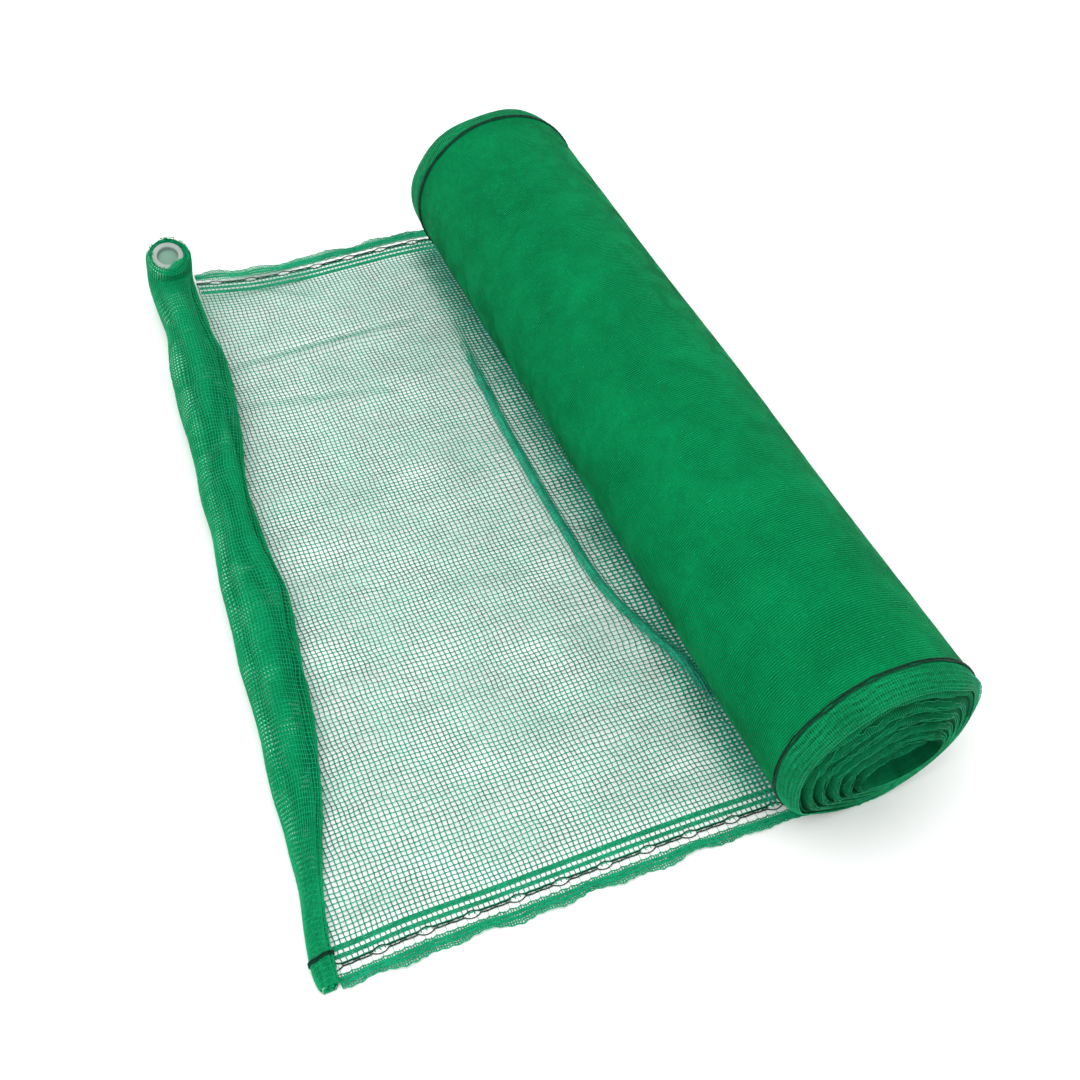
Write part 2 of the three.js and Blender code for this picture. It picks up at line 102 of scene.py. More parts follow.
# Soft creases in the laid net.
CREASES = table(
    "x0 y0 x1 y1 height half",
    (-418, 386, -140, 384, 4.5, 13), (-392, 548, -262, 484, 3.2, 12), (-425, 318, -215, 268, 2.4, 15))
# The wound free end: its middle line in plan, half its width and its height.
STRIP = table(
    "y x half height",
    (-458, -553, 6, 6), (-453, -552.5, 9.5, 10.5), (-436, -552, 10.9, 13), (-400, -547, 10.7, 13),
    (-356, -537.5, 11.5, 14), (-314, -529, 16, 17), (-270, -519, 22, 22), (-222, -511, 26.5, 27),
    (-172, -504, 29, 31), (-118, -497, 31, 34), (-62, -489.5, 33.5, 37), (-4, -483, 34, 39),
    (52, -481, 31, 40), (106, -476, 27.3, 40), (164, -470.5, 27.3, 41), (222, -462.5, 29.5, 43),
    (274, -455, 32.7, 45), (328, -447.5, 35, 47), (384, -441.5, 35, 49), (430, -438, 29, 50),
    (480, -434, 27.3, 51), (530, -430, 27.6, 52), (566, -428, 26.5, 50), (590, -427, 18, 38),
    (599, -427, 9, 24))
# Soft valleys along the strip: the turn each keeps to, how far it wanders, its width and its phase.
VALLEYS = table("middle sway width phase", (1.25, 0.3, 0.26, 0), (2.1, 0.25, 0.22, 2), (0.6, 0.12, 0.16, 4))
# The roll's near end, from its side in over the outermost turn's edge. share is the way in to the hollow.
NEAR_SHOULDER = table(
    "share y", (0, -474), (0.008, -480), (0.03, -487), (0.065, -493), (0.1, -496.5), (0.125, -497))
# The hollow in the middle of the roll: its flattened section, narrowing as it goes in.
HOLLOW = table(
    "deep x z half rise",
    (0, 40, 43, 39, 18), (11, 39, 45, 38, 16), (41, 37, 49, 36, 14), (101, 34, 54, 32, 11),
    (161, 32, 57, 28, 9))
HOLLOW_TILT = math.radians(9)
FAR_SHOULDER = table(
    "radius y", (1, 464), (0.998, 472), (0.985, 482), (0.955, 490), (0.91, 495), (0.87, 496))
NEAR_FIRST = 0.115  # share of the way in where the inner turns begin to show
NEAR_LAST = 0.87  # and where the innermost one turns into the hollow
FAR_FIRST = 0.1
END_TURNS = 6  # turns that show on each end
FAR_FLUSH_Y = 496
# Rows of the dense outer band: how far in, how much each follows the scallops, and its thickness.
BAND_ROWS = table(
    "inset sway thick",
    (0.6, 1.0, 1.2), (3.2, 0.5, 1.0), (5.6, 0.2, 1.2), (6.7, 0.1, 1.2), (7.8, 0.2, 1.2),
    (10.0, 0.2, 1.2), (11.1, 0.1, 1.2), (12.2, 0.2, 1.2), (15.4, 1.3, 0.9))
# The same band's rows where it rounds over an end of the roll.
SHOULDER_ROWS = table(
    "step thick", (0.12, 0.8), (0.3, 1.0), (0.42, 0.9), (0.54, 1.0), (0.66, 0.9), (0.78, 1.0), (0.98, 1.2))


def along(rows, place, column):
    """Value of a table's column at a place in its first column, smooth between its rows."""
    at, value = next(iter(rows.values())), rows[column]
    place = np.asarray(place, float)
    slope = np.empty(len(at))
    slope[1:-1] = (value[2:] - value[:-2]) / (at[2:] - at[:-2])
    slope[0] = (value[1] - value[0]) / (at[1] - at[0])
    slope[-1] = (value[-1] - value[-2]) / (at[-1] - at[-2])
    i = np.clip(np.searchsorted(at, place, "right") - 1, 0, len(at) - 2)
    span = at[i + 1] - at[i]
    t = np.clip((place - at[i]) / span, 0, 1)
    rise = (value[i + 1] - value[i]) / span
    bend = t * (1 - t) * span
    straight = value[i] + (value[i + 1] - value[i]) * t
    return straight + bend * ((slope[i] - rise) * (1 - t) - (slope[i + 1] - rise) * t)


def smooth(t):
    """From 0 to 1 with a soft start and a soft end."""
    t = np.clip(t, 0, 1)
    return t * t * (3 - 2 * t)


def drift(seed, *places, size):
    """A smooth, fixed, uneven field of about -1 to 1 over places given in millimetres."""
    random = default_rng(seed)
    total = 0
    for octave in range(3):
        reach = size / 1.9 ** octave
        for _ in range(3):
            way = random.normal(size=len(places))
            way /= np.linalg.norm(way)
            phase = random.uniform(0, FULL_TURN)
            wave = sum(w * p for w, p in zip(way, places)) * FULL_TURN / reach
            total = total + np.sin(wave + phase) / (3 * 1.7 ** octave)
    return total


def stack(*parts):
    """Points from their x, y and z, each an array or one number."""
    return np.stack(np.broadcast_arrays(*parts), -1).astype(float)


# Surfaces that the pieces follow
def pinch_height(x, y):
    off = np.abs(x - along(PINCH, y, "x")) / PINCH_HALF_WIDTH
    return along(PINCH, y, "height") * np.clip(1 - off, 0, 1) ** 1.3


def crease_height(x, y):
    total = 0
    for x0, y0, x1, y1, height, half in zip(*CREASES.values()):
        dx, dy = x1 - x0, y1 - y0
        length = math.hypot(dx, dy)
        t = np.clip(((x - x0) * dx + (y - y0) * dy) / length ** 2, 0, 1)
        off = np.clip(np.abs((x - x0) * dy - (y - y0) * dx) / length / half, 0, 1)
        total = total + height * np.abs(np.sin(np.pi * t)) ** 0.6 * (0.5 + 0.5 * np.cos(np.pi * off))
    return total


def corner_lift(x, y):
    """The far corner rises toward the strip and toward the far edge."""
    return CORNER_LIFT * np.clip((-x - 235) / 165, 0, 1.2) ** 1.5 * smooth((y - 400) / 150)


def under_roll(x):
    """The netting's rise where it goes under the roll and round it."""
    reach = ROLL_RADIUS + 2.9
    rise = ROLL_CENTRE_Z - np.sqrt(reach ** 2 - np.clip(x, LIFT_OFF_X, 60) ** 2)
    return np.where(x > LIFT_OFF_X, np.maximum(rise, 0), 0)


def net_height(x, y):
    """Underside of the laid net over the floor."""
    return under_roll(x) + pinch_height(x, y) + crease_height(x, y) + corner_lift(x, y)


def net_border(y):
    """The strip's side that the laid net meets."""
    x, half = along(STRIP, y, "x"), along(STRIP, y, "half")
    return x + half * 0.82 + 0.016 * half * corner_lift(x + half, y)


def roll_radius(turn, y):
    """The roll is wound a little unevenly, and is fuller over its stacked edge cords."""
    uneven = 0.5 * np.sin(3 * turn + y * 0.011) + 0.4 * np.sin(2 * turn - y * 0.017)
    cords = np.exp(-((y - NEAR_CORD_Y) / 14) ** 2) + np.exp(-((y - FAR_CORD_Y) / 14) ** 2)
    return ROLL_RADIUS - 0.9 + uneven + 0.7 * cords


def roll_point(turn, y, share=1.0, out=0.0):
    """A place on the roll, flattened a little where it stands on the floor."""
    radius = roll_radius(turn, y) * share + out
    z = ROLL_CENTRE_Z + radius * np.sin(turn)
    return stack(radius * np.cos(turn), y, np.maximum(z, ROLL_LIFT))


def hollow_point(turn, deep, shrink=1.0):
    x, z, half, rise = (along(HOLLOW, deep, column) for column in ("x", "z", "half", "rise"))
    u, v = shrink * half * np.cos(turn), shrink * rise * np.sin(turn)
    px = x + u * math.cos(HOLLOW_TILT) - v * math.sin(HOLLOW_TILT)
    pz = z + u * math.sin(HOLLOW_TILT) + v * math.cos(HOLLOW_TILT)
    return stack(px, NEAR_FLUSH_Y + deep, pz)


def proud(turn):
    """How far the near end stands proud: 1 at the top and toward the laid net, little low down."""
    return 0.15 + 0.85 * smooth((np.cos(turn - math.radians(125)) + 0.45) / 0.85)


def end_place(turn, share, y, up=0.0):
    """A place on the near end, share of the way in to the hollow, y where the end stands proud."""
    way = np.asarray(share)[..., None]
    mix = roll_point(turn, NEAR_CORD_Y - 10) * (1 - way) + hollow_point(turn, 0.0) * way
    ripple = 1.5 * np.sin(5 * turn) * np.sin(np.pi * np.clip(share, 0, 1))
    low = NEAR_FLUSH_Y + proud(turn) * (y - NEAR_FLUSH_Y + ripple)
    mix[..., 1] = np.where(y > NEAR_FLUSH_Y, y, np.minimum(low, NEAR_CORD_Y - 4)) - up
    return mix


def at_step(rows, step):
    """Values of a table of two columns at a step, which is from 0 to 1."""
    steps = np.linspace(0, 1, len(rows["y"]))
    return (np.interp(step, steps, column) for column in rows.values())


def away_from(y, point, up):
    """The point moved by up, away from the middle of the roll at y."""
    away = point - (0, y, ROLL_CENTRE_Z)
    return point + up * away / np.linalg.norm(away, axis=-1, keepdims=True)


def shoulder_point(turn, step, up=0.0):
    """A place on the outermost turn where it rounds over the near end. step is from 0 to 1."""
    share, y = at_step(NEAR_SHOULDER, step)
    return away_from(NEAR_CORD_Y + 30, end_place(turn, share, y), up)


def turn_share(turn, share, first):
    """How far across its own turn of the spiral a place is, from 0 to 1."""
    across = END_TURNS * (share - first) / (1 - first) + turn / FULL_TURN
    across = across + 0.13 * np.sin(2 * turn + 5 * share) + 0.08 * np.sin(5 * turn - 7 * share + 1)
    return across - np.floor(across)


def puff(across):
    """Profile of one turn's edge across its own width: 1 along its crest and 0 in the creases beside it."""
    return np.sin(np.pi * across ** 1.3) ** 0.42


def crease_shade(turn, share, first):
    """Painted shade: 1 in the creases between the turns, which are painted dark, and 0 along their crests.
    """
    return (1 - puff(turn_share(turn, share, first))) ** 0.55


def near_end_point(turn, share, up=0.0):
    """The stacked edges of the turns on the near end: puffy bands with creases between them."""
    bulge = puff(turn_share(turn, share, NEAR_FIRST))
    deep = (3.5 + 12 * (proud(turn) - 0.15)) * smooth((1.0 - share) / 0.1)
    crest = -496.5 + 13 * (share - NEAR_FIRST)
    tuck = 5 * smooth((NEAR_FIRST + 0.02 - share) / 0.02)
    y = crest + deep * (1 - bulge) + tuck
    y = y + 1.7 * bulge * drift(51, 110 * turn * (1 - 0.5 * share), 160 * share, size=38)
    return end_place(turn, share + 0.014 * bulge * smooth((0.95 - share) / 0.1), y, up)


def far_wave(turn, radius, y):
    """The far end is uneven, and reaches further on the side of the laid net."""
    reach = FAR_REACH * np.maximum(0, -np.cos(turn - 0.15)) ** 2
    return (2.2 * np.sin(6 * turn + 1) + reach) * radius * smooth((y - 466) / 9)


def far_shoulder_point(turn, step, up=0.0):
    """A place on the outermost turn where it rounds over the far end. step is from 0 to 1."""
    radius, y = at_step(FAR_SHOULDER, step)
    point = roll_point(turn, y, radius)
    point[..., 1] += far_wave(turn, radius, y)
    return away_from(FAR_CORD_Y - 30, point, up)


def far_end_point(turn, share, up=0.0):
    """The turns' edges on the far end, flatter than on the near one."""
    radius = 1 - share
    bulge = puff(turn_share(turn, share, FAR_FIRST))
    tuck = 3.5 * smooth((FAR_FIRST + 0.03 - share) / 0.02)
    deep = 5.5 * smooth((1 - share) / 0.1)
    y = FAR_FLUSH_Y - 5 * share - deep * (1 - bulge) - tuck
    point = roll_point(turn, y, radius)
    point[..., 1] += far_wave(turn, radius, y) + up
    return point


def strip_valley(y, turn):
    """1 in the soft valleys that wander along the strip, 0 between them."""
    total = 0
    for middle, sway, width, phase in zip(*VALLEYS.values()):
        line = middle + sway * np.sin(y * 0.011 + phase) + 0.06 * np.sin(y * 0.037 + phase)
        total = total + np.exp(-((turn - line) / width) ** 2)
    return total


def strip_point(turn, walk, out=0.0):
    """The wound strip: an oval flat on the floor, with soft lobes and valleys, that turns up round the tube.
    walk is y along the floor, and then goes on to WALK_END at the tube's mouth."""
    turn, walk = np.broadcast_arrays(np.asarray(turn, float), np.asarray(walk, float))
    rise = np.clip((walk - WALK_BEND) / (WALK_END - WALK_BEND), 0, 1)
    y = np.minimum(walk, WALK_BEND)
    lobe = 0.03 * np.sin(3 * turn + walk * 0.03) + 0.025 * np.sin(5 * turn - walk * 0.047)
    lobe = lobe - 0.125 * strip_valley(walk, turn) + 0.012 * drift(61, 25 * turn, walk, size=50)
    lobe = 1 + lobe * (1 - smooth(rise * 1.3))
    wrap = TUBE_OUTER + WRAP + 1.6 * np.sin(np.pi * rise) - 3.4 * smooth((rise - 0.96) / 0.04)
    x, wide, tall = (along(STRIP, y, column) for column in ("x", "half", "height"))
    half = wide * (1 - rise) + wrap * rise + out
    height = (tall * (1 - rise) + 2 * wrap * rise) / 2 + out
    # The middle of the section bends from along the floor to up out of the tube's mouth.
    start = stack(x, y, tall / 2)
    out_of_mouth = np.array([0, -math.sin(MOUTH_LEAN), math.cos(MOUTH_LEAN)])
    end = MOUTH + (WRAP_ASIDE, 0.5 * WRAP_BACK, 0)
    t = rise[..., None]
    back = 1 - t
    first, second = start + (0, HEEL_REACH, 0), end - MOUTH_REACH * out_of_mouth
    middle = start * back ** 3 + 3 * first * t * back ** 2 + 3 * second * t ** 2 * back + end * t ** 3
    bend = rise ** 0.9 * (math.pi / 2 + MOUTH_LEAN)
    u, v = half * lobe * np.cos(turn), height * lobe * 1.02 * np.sin(turn)
    point = middle + stack(u, -v * np.sin(bend), v * np.cos(bend))
    point[..., 2] = np.maximum(point[..., 2], 0.3)
    return point


def tube_point(turn, reach, radius, aside=0.0, back=0.0):
    """A place round the short tube: reach is the way out of its mouth."""
    u, v = radius * np.cos(turn) + aside, radius * np.sin(turn) + back
    lean_sin, lean_cos = math.sin(MOUTH_LEAN), math.cos(MOUTH_LEAN)
    x, y, z = MOUTH
    point = stack(x + u, y + v * lean_cos - reach * lean_sin, z + v * lean_sin + reach * lean_cos)
    point[..., 2] = np.maximum(point[..., 2], 0.3)
    return point


# Trees of nodes
class Nodes:
    """Short hand for building a tree of nodes of one family."""

    def __init__(self, tree, family="ShaderNode"):
        self.tree = tree
        self.family = family

    def add(self, kind, inputs=None, **settings):
        node = self.tree.nodes.new(self.family + kind)
        for name, value in settings.items():
            setattr(node, name, value)
        for name, value in (inputs or {}).items():
            if isinstance(value, bpy.types.NodeSocket):
                self.tree.links.new(value, node.inputs[name])
            else:
                node.inputs[name].default_value = value
        return node

    def math(self, operation, a, b=0.0, c=0.0):
        return self.add("Math", {0: a, 1: b, 2: c}, operation=operation).outputs[0]

    def times(self, a, b):
        return self.math("MULTIPLY", a, b)

    def noise(self, vector, scale, detail=2.0, roughness=0.5):
        return self.add("TexNoise", {"Vector": vector, "Scale": scale, "Detail": detail,
                                     "Roughness": roughness}).outputs["Fac"]

    def spread(self, value, low, high, to_low=0.0, to_high=1.0):
        return self.add("MapRange", {"Value": value, "From Min": low, "From Max": high,
                                     "To Min": to_low, "To Max": to_high}).outputs["Result"]

    def blend(self, share, a, b):
        return self.add("Mix", {0: share, 6: a, 7: b}, data_type="RGBA").outputs[2]


def new_group(name, kind, takes, gives):
    """A group of nodes, and the sockets through which values come in and go out."""
    tree = bpy.data.node_groups.new(name, kind)
    for way, sockets in (("INPUT", takes), ("OUTPUT", gives)):
        for socket, sort in sockets:
            tree.interface.new_socket(socket, in_out=way, socket_type="NodeSocket" + sort)
    given, result = tree.nodes.new("NodeGroupInput"), tree.nodes.new("NodeGroupOutput")
    return tree, given.outputs, result.inputs


# Meshes
def add_object(name, data):
    """A new object in the scene."""
    thing = bpy.data.objects.new(name, data)
    bpy.context.scene.collection.objects.link(thing)
    return thing


def mesh_piece(name, points, faces, finish, edges=()):
    """A piece in the row frame from points in millimetres."""
    mesh = bpy.data.meshes.new(name)
    mesh.from_pydata((np.asarray(points, float) * MM).tolist(), [tuple(e) for e in edges], faces)
    mesh.update()
    if finish:
        mesh.materials.append(finish)
    return add_object(name, mesh)


def skin(name, grid, cloth, finish, inside, ends=(False, False), painted_shade=None):
    """A smooth surface through closed rings of points. cloth holds each point's place on the cloth in
    millimetres, round and along. Faces point away from inside. ends closes the first or last ring, and
    the last argument is the painted shade: 1 where creases and hollows are painted dark as shade."""
    rings, count = grid.shape[:2]
    wide = np.concatenate([cloth, cloth[:, :1] + count * (cloth[:, 1:2] - cloth[:, :1])], 1)
    mesh_rows = np.meshgrid(np.arange(rings - 1), np.arange(count), indexing="ij")
    i, j = (part.reshape(-1, 1) for part in mesh_rows)
    corner_i, corner_j = np.hstack([i, i, i + 1, i + 1]), np.hstack([j, j + 1, j + 1, j])
    quads = grid[corner_i, corner_j % count]
    normal = np.cross(quads[:, 2] - quads[:, 0], quads[:, 3] - quads[:, 1])
    flip = (normal * (quads.mean(1) - inside)).sum() < 0
    if flip:
        corner_i, corner_j = corner_i[:, ::-1], corner_j[:, ::-1]
    faces = (corner_i * count + corner_j % count).tolist()
    marks = [wide[corner_i, corner_j].reshape(-1, 2)]
    points = grid.reshape(-1, 3)
    for closed, ring, turned in ((ends[0], 0, True), (ends[1], rings - 1, False)):
        if not closed:
            continue
        middle = len(points)
        points = np.vstack([points, grid[ring].mean(0)])
        mean = wide[ring, :-1].mean(0)
        for n in range(count):
            corners = [n, n + 1] if turned == flip else [n + 1, n]
            faces.append([ring * count + c % count for c in corners] + [middle])
            marks.append(np.array([wide[ring, corners[0]], wide[ring, corners[1]], mean]))
    piece = mesh_piece(name, points, faces, finish)
    layer = piece.data.uv_layers.new(name="cloth")
    layer.data.foreach_set("uv", np.concatenate(marks).reshape(-1).astype(np.float32))
    piece.data.polygons.foreach_set("use_smooth", np.ones(len(faces), bool))
    # Painted shade for each point, which the finish turns into darker colour.
    painted_shade_amount = np.zeros(len(points), np.float32)
    if painted_shade is not None:
        painted_shade_amount[:rings * count] = np.broadcast_to(painted_shade, (rings, count)).reshape(-1)
    piece.data.attributes.new("painted_shade", "FLOAT", "POINT").data.foreach_set("value", painted_shade_amount)
    return piece


def thread_tree():
    """Lines become round threads. The attribute swell thickens them in places."""
    tree, given, result = new_group(
        "spun threads", "GeometryNodeTree",
        (("Lines", "Geometry"), ("Thread radius", "Float"), ("Sides", "Int"), ("Finish", "Material")),
        (("Threads", "Geometry"),))
    tree.is_modifier = True
    g = Nodes(tree, "GeometryNode")
    curve = g.add("MeshToCurve", {"Mesh": given["Lines"]}).outputs["Curve"]
    ring = g.add("CurvePrimitiveCircle", {"Resolution": given["Sides"], "Radius": 1.0}).outputs["Curve"]
    swell = g.add("InputNamedAttribute", {"Name": "swell"}, data_type="FLOAT").outputs["Attribute"]
    radius = Nodes(tree).times(given["Thread radius"], swell)
    tube = g.add("CurveToMesh", {"Curve": curve, "Profile Curve": ring, "Scale": radius, "Fill Caps": True})
    soft = g.add("SetShadeSmooth", {"Geometry": tube.outputs["Mesh"]})
    real = g.add("RealizeInstances", {"Geometry": soft.outputs["Geometry"]})
    paint = g.add("SetMaterial", {"Geometry": real.outputs["Geometry"], "Material": given["Finish"]})
    tree.links.new(paint.outputs["Geometry"], result["Threads"])
    return tree


SPUN_THREADS = thread_tree()


def threads(name, lines, kind, *nodes):
    """A piece of threads. Each line is its points, or its points and how much it swells at each."""
    slot, radius, sides, finish = kind
    points, swell, edges = [], [], []
    start = 0
    for line in lines:
        path, thick = line if isinstance(line, tuple) else (line, np.ones(len(line)))
        points.append(path)
        swell.append(np.broadcast_to(thick, len(path)))
        steps = np.arange(start, start + len(path) - 1)
        edges.append(np.stack([steps, steps + 1], 1))
        start += len(path)
    guide = mesh_piece(name + "_lines", np.concatenate(points), [], None, np.concatenate(edges))
    attribute = guide.data.attributes.new("swell", "FLOAT", "POINT")
    attribute.data.foreach_set("value", np.concatenate(swell).astype(np.float32))
    modifier = guide.modifiers.new("spun threads", "NODES")
    modifier.node_group = SPUN_THREADS
    values = {"Thread radius": radius * MM, "Sides": sides, "Finish": finish}
    for socket in SPUN_THREADS.interface.items_tree:
        if socket.name in values:
            modifier[socket.identifier] = values[socket.name]
    mesh = bpy.data.meshes.new_from_object(guide.evaluated_get(bpy.context.evaluated_depsgraph_get()))
    mesh.name = name
    bpy.data.objects.remove(guide)
    return place(add_object(name, mesh), slot, *nodes)


def place(piece, slot, *nodes):
    """The piece rides on the one body and stands for its CAD nodes. slot is not used."""
    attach(piece, "root")
    if nodes:
        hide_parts(*nodes)
    return piece


# Finishes
def knit_group():
    """The knitted ribs of wound netting: broken grooves round it, fine stitches and light specks, which the
    finish uses for painted shade in the grooves and painted highlights on the ribs.
    """
    results = ("Height", "Groove", "Dash", "Speck", "Pinhole", "Patch", "Round")
    tree, given, result = new_group(
        "knit ribs", "ShaderNodeTree", (("Cloth", "Vector"), ("Stitch pitch", "Float"), ("Waver", "Float")),
        [(name, "Float") for name in results])
    n = Nodes(tree)
    cloth = given["Cloth"]
    split = n.add("SeparateXYZ", {0: cloth})
    u, v = split.outputs[0], split.outputs[1]
    sway = n.math("SUBTRACT", n.noise(cloth, 0.02, 3), 0.5)
    v = n.math("MULTIPLY_ADD", sway, given["Waver"], v)
    turns = n.math("DIVIDE", v, STITCH)
    row = n.math("FLOOR", turns)
    rib = n.math("MULTIPLY_ADD", n.math("COSINE", n.times(turns, FULL_TURN)), -0.5, 0.5)
    # Along a rib, the stitches come and go.
    stitch = n.math("DIVIDE", u, given["Stitch pitch"])
    on_row = n.add("CombineXYZ", {0: stitch, 1: n.times(row, 7.31), 2: 0.0}).outputs[0]
    dashes = n.noise(on_row, 0.45, 3.0, 0.7)
    half_stitch = n.math("FLOOR", n.times(stitch, 2.0))
    cell = n.add("CombineXYZ", {0: half_stitch, 1: row, 2: 0.0}).outputs[0]
    chance = n.add("TexWhiteNoise", {"Vector": cell}, noise_dimensions="2D").outputs["Value"]
    on_dash = n.times(rib, n.spread(dashes, 0.45, 0.6))
    speck = n.times(n.spread(chance, 0.9, 1.0), on_dash)
    fine = n.math("MULTIPLY_ADD", n.math("SINE", n.times(stitch, FULL_TURN)), 0.5, 0.5)
    deep = n.spread(dashes, 0.3, 0.75, 0.35, 1.0)
    height = n.math("ADD", n.times(rib, deep), n.times(fine, 0.22))
    height = n.math("MULTIPLY_ADD", chance, 0.35, height)
    groove = n.times(n.math("SUBTRACT", 1.0, rib), n.spread(dashes, 0.35, 0.65))
    dash = n.times(rib, n.spread(dashes, 0.5, 0.68))
    # Mask for painted light showing through a cell where few layers lie over each other.
    cell_u = n.math("SINE", n.times(u, FULL_TURN / 3.4))
    cell_v = n.math("SINE", n.times(v, FULL_TURN / PITCH))
    pinhole = n.spread(n.math("ADD", cell_u, cell_v), 0.7, 1.3)
    patch = n.noise(cloth, 0.011, 4, 0.6)
    for name, value in zip(results, (height, groove, dash, speck, pinhole, patch, u)):
        tree.links.new(value, result[name])
    return tree


KNIT_RIBS = knit_group()
# Pale colour of the painted light that shows through pinholes.
PAINTED_PINHOLE_LIGHT = (0.4, 0.9, 0.66, 1)
# Colour that the painted shade darkens toward, in creases, the hollow and the strip's valleys.
PAINTED_SHADE_DARK = (0.0001, 0.03, 0.008, 1)


def new_finish(name):
    """A new material, its tree and its shader."""
    finish = bpy.data.materials.new(name)
    finish.use_nodes = True
    tree = finish.node_tree
    return finish, Nodes(tree), tree.nodes["Principled BSDF"]


def surface(n, shader, tint, rough, gloss, height, strength, distance):
    """The shader's colour, roughness, gloss and relief."""
    relief = n.add("Bump", {"Height": height, "Strength": strength, "Distance": distance}).outputs[0]
    for socket, value in (("Base Color", tint), ("Roughness", rough), ("Normal", relief)):
        n.tree.links.new(value, shader.inputs[socket])
    shader.inputs["Specular IOR Level"].default_value = gloss


def wound_finish(name, dark, plain, light, stitch_pitch=2.1, waver=9.0, bump=0.6, thin=None):
    """Netting in many layers, with painted shade in its grooves and creases. light is the colour of its
    painted highlights, the dashes and specks. Pale painted light shows through pinholes where it is thin,
    between two places round it in millimetres of cloth."""
    groove_shade = tuple(0.35 * c for c in dark)
    finish, n, shader = new_finish(name)
    cloth = n.add("UVMap", uv_map="cloth").outputs[0]
    weave = {"Cloth": cloth, "Stitch pitch": stitch_pitch, "Waver": waver}
    knit = n.add("Group", weave, node_tree=KNIT_RIBS).outputs
    patch, height = knit["Patch"], knit["Height"]
    tint = n.blend(n.spread(patch, 0.35, 0.68), (*dark, 1), (*plain, 1))
    # Painted shade by relief: low places keep the darker tone and raised ones go plain.
    tint = n.blend(n.spread(height, 0.2, 1.3), tint, (*plain, 1))
    # Painted shade in the grooves between the ribs.
    tint = n.blend(n.times(knit["Groove"], 0.95), tint, (*groove_shade, 1))
    # Painted highlights: lighter dashes on the outer threads along the rib crests, and bright glints on the
    # specks.
    tint = n.blend(n.times(knit["Dash"], 0.38), tint, (*light, 1))
    tint = n.blend(n.times(knit["Speck"], 0.6), tint, (*light, 1))
    if thin:
        edge = 7.0
        begun = n.spread(knit["Round"], thin[0] - edge, thin[0] + edge)
        band = n.times(begun, n.spread(knit["Round"], thin[1] + edge, thin[1] - edge))
        patches = n.spread(n.noise(cloth, 0.024, 3, 0.6), 0.52, 0.66)
        few_layers = n.math("MAXIMUM", n.times(patches, 0.9), band)
        # Painted light showing through pale pinholes where the netting is thin.
        tint = n.blend(n.times(few_layers, knit["Pinhole"]), tint, PAINTED_PINHOLE_LIGHT)
    # Painted shade from the attribute: the creases between turns, deeper in the hollow, and the strip's
    # valleys and side.
    painted_shade_amount = n.add("Attribute", attribute_name="painted_shade").outputs["Fac"]
    tint = n.blend(n.times(painted_shade_amount, 0.85), tint, PAINTED_SHADE_DARK)
    surface(n, shader, tint, n.spread(height, 0.0, 1.4, 0.8, 0.6), 0.03, height, bump, 0.0012)
    return finish


def thread_finish(name, dark, light, grain=900.0):
    """Spun plastic thread: uneven colour along it, and a fine twist."""
    finish, n, shader = new_finish(name)
    where = n.add("TexCoord").outputs["Object"]
    patch = n.noise(where, 26.0, 3.0, 0.6)
    fleck = n.noise(where, 260.0, 2.0, 0.6)
    share = n.math("ADD", n.times(patch, 0.5), n.times(fleck, 0.6))
    tint = n.blend(n.spread(share, 0.32, 0.78), (*dark, 1), (*light, 1))
    twist = n.noise(where, grain, 1.0)
    rough = n.spread(twist, 0.3, 0.7, 0.4, 0.65)
    surface(n, shader, tint, rough, 0.12, twist, 0.4, 0.0003)
    return finish


def tube_finish(name, colour, roughness):
    """Pale moulded plastic with faint scuffs."""
    finish, n, shader = new_finish(name)
    where = n.add("TexCoord").outputs["Object"]
    scuff = n.noise(where, 140.0, 4.0, 0.7)
    dusty = n.noise(where, 35.0, 3.0, 0.6)
    worn = tuple(0.72 * c for c in colour)
    tint = n.blend(n.spread(dusty, 0.3, 0.75), (*worn, 1), (*colour, 1))
    rough = n.spread(scuff, 0.3, 0.7, roughness - 0.12, roughness + 0.15)
    surface(n, shader, tint, rough, 0.5, scuff, 0.25, 0.0004)
    return finish


WOUND = wound_finish("wound netting", (0.0002, 0.14, 0.04), (0.0006, 0.25, 0.078), (0.004, 0.46, 0.19))
END_WOUND = wound_finish(
    "turned edges", (0.0004, 0.11, 0.034), (0.002, 0.25, 0.092), (0.04, 0.46, 0.24),
    stitch_pitch=3.0, bump=0.8)
STRIP_WOUND = wound_finish(
    "loose wound netting", (0.0006, 0.24, 0.085), (0.001, 0.38, 0.145), (0.01, 0.55, 0.27),
    waver=14.0, bump=0.4, thin=(52, 92))
LAID_THREAD = thread_finish("laid green thread", (0.003, 0.16, 0.085), (0.03, 0.46, 0.3))
FOLD_THREAD = thread_finish("drawn green thread", (0.004, 0.26, 0.13), (0.05, 0.55, 0.34))
DENSE_THREAD = thread_finish("dense green thread", (0.0008, 0.22, 0.09), (0.008, 0.44, 0.22))
EDGE_THREAD = thread_finish("turned edge thread", (0.0006, 0.15, 0.05), (0.005, 0.36, 0.15))
SKIN_THREAD = thread_finish("wound green thread", (0.0006, 0.25, 0.09), (0.003, 0.42, 0.17))
CORD_THREAD = thread_finish("black cord thread", (0.0006, 0.014, 0.007), (0.006, 0.06, 0.034), 1400.0)
PALE_TUBE = tube_finish("pale tube", (0.36, 0.43, 0.39), 0.45)
PLUG_DISC = tube_finish("tube disc", (0.2, 0.38, 0.28), 0.6)
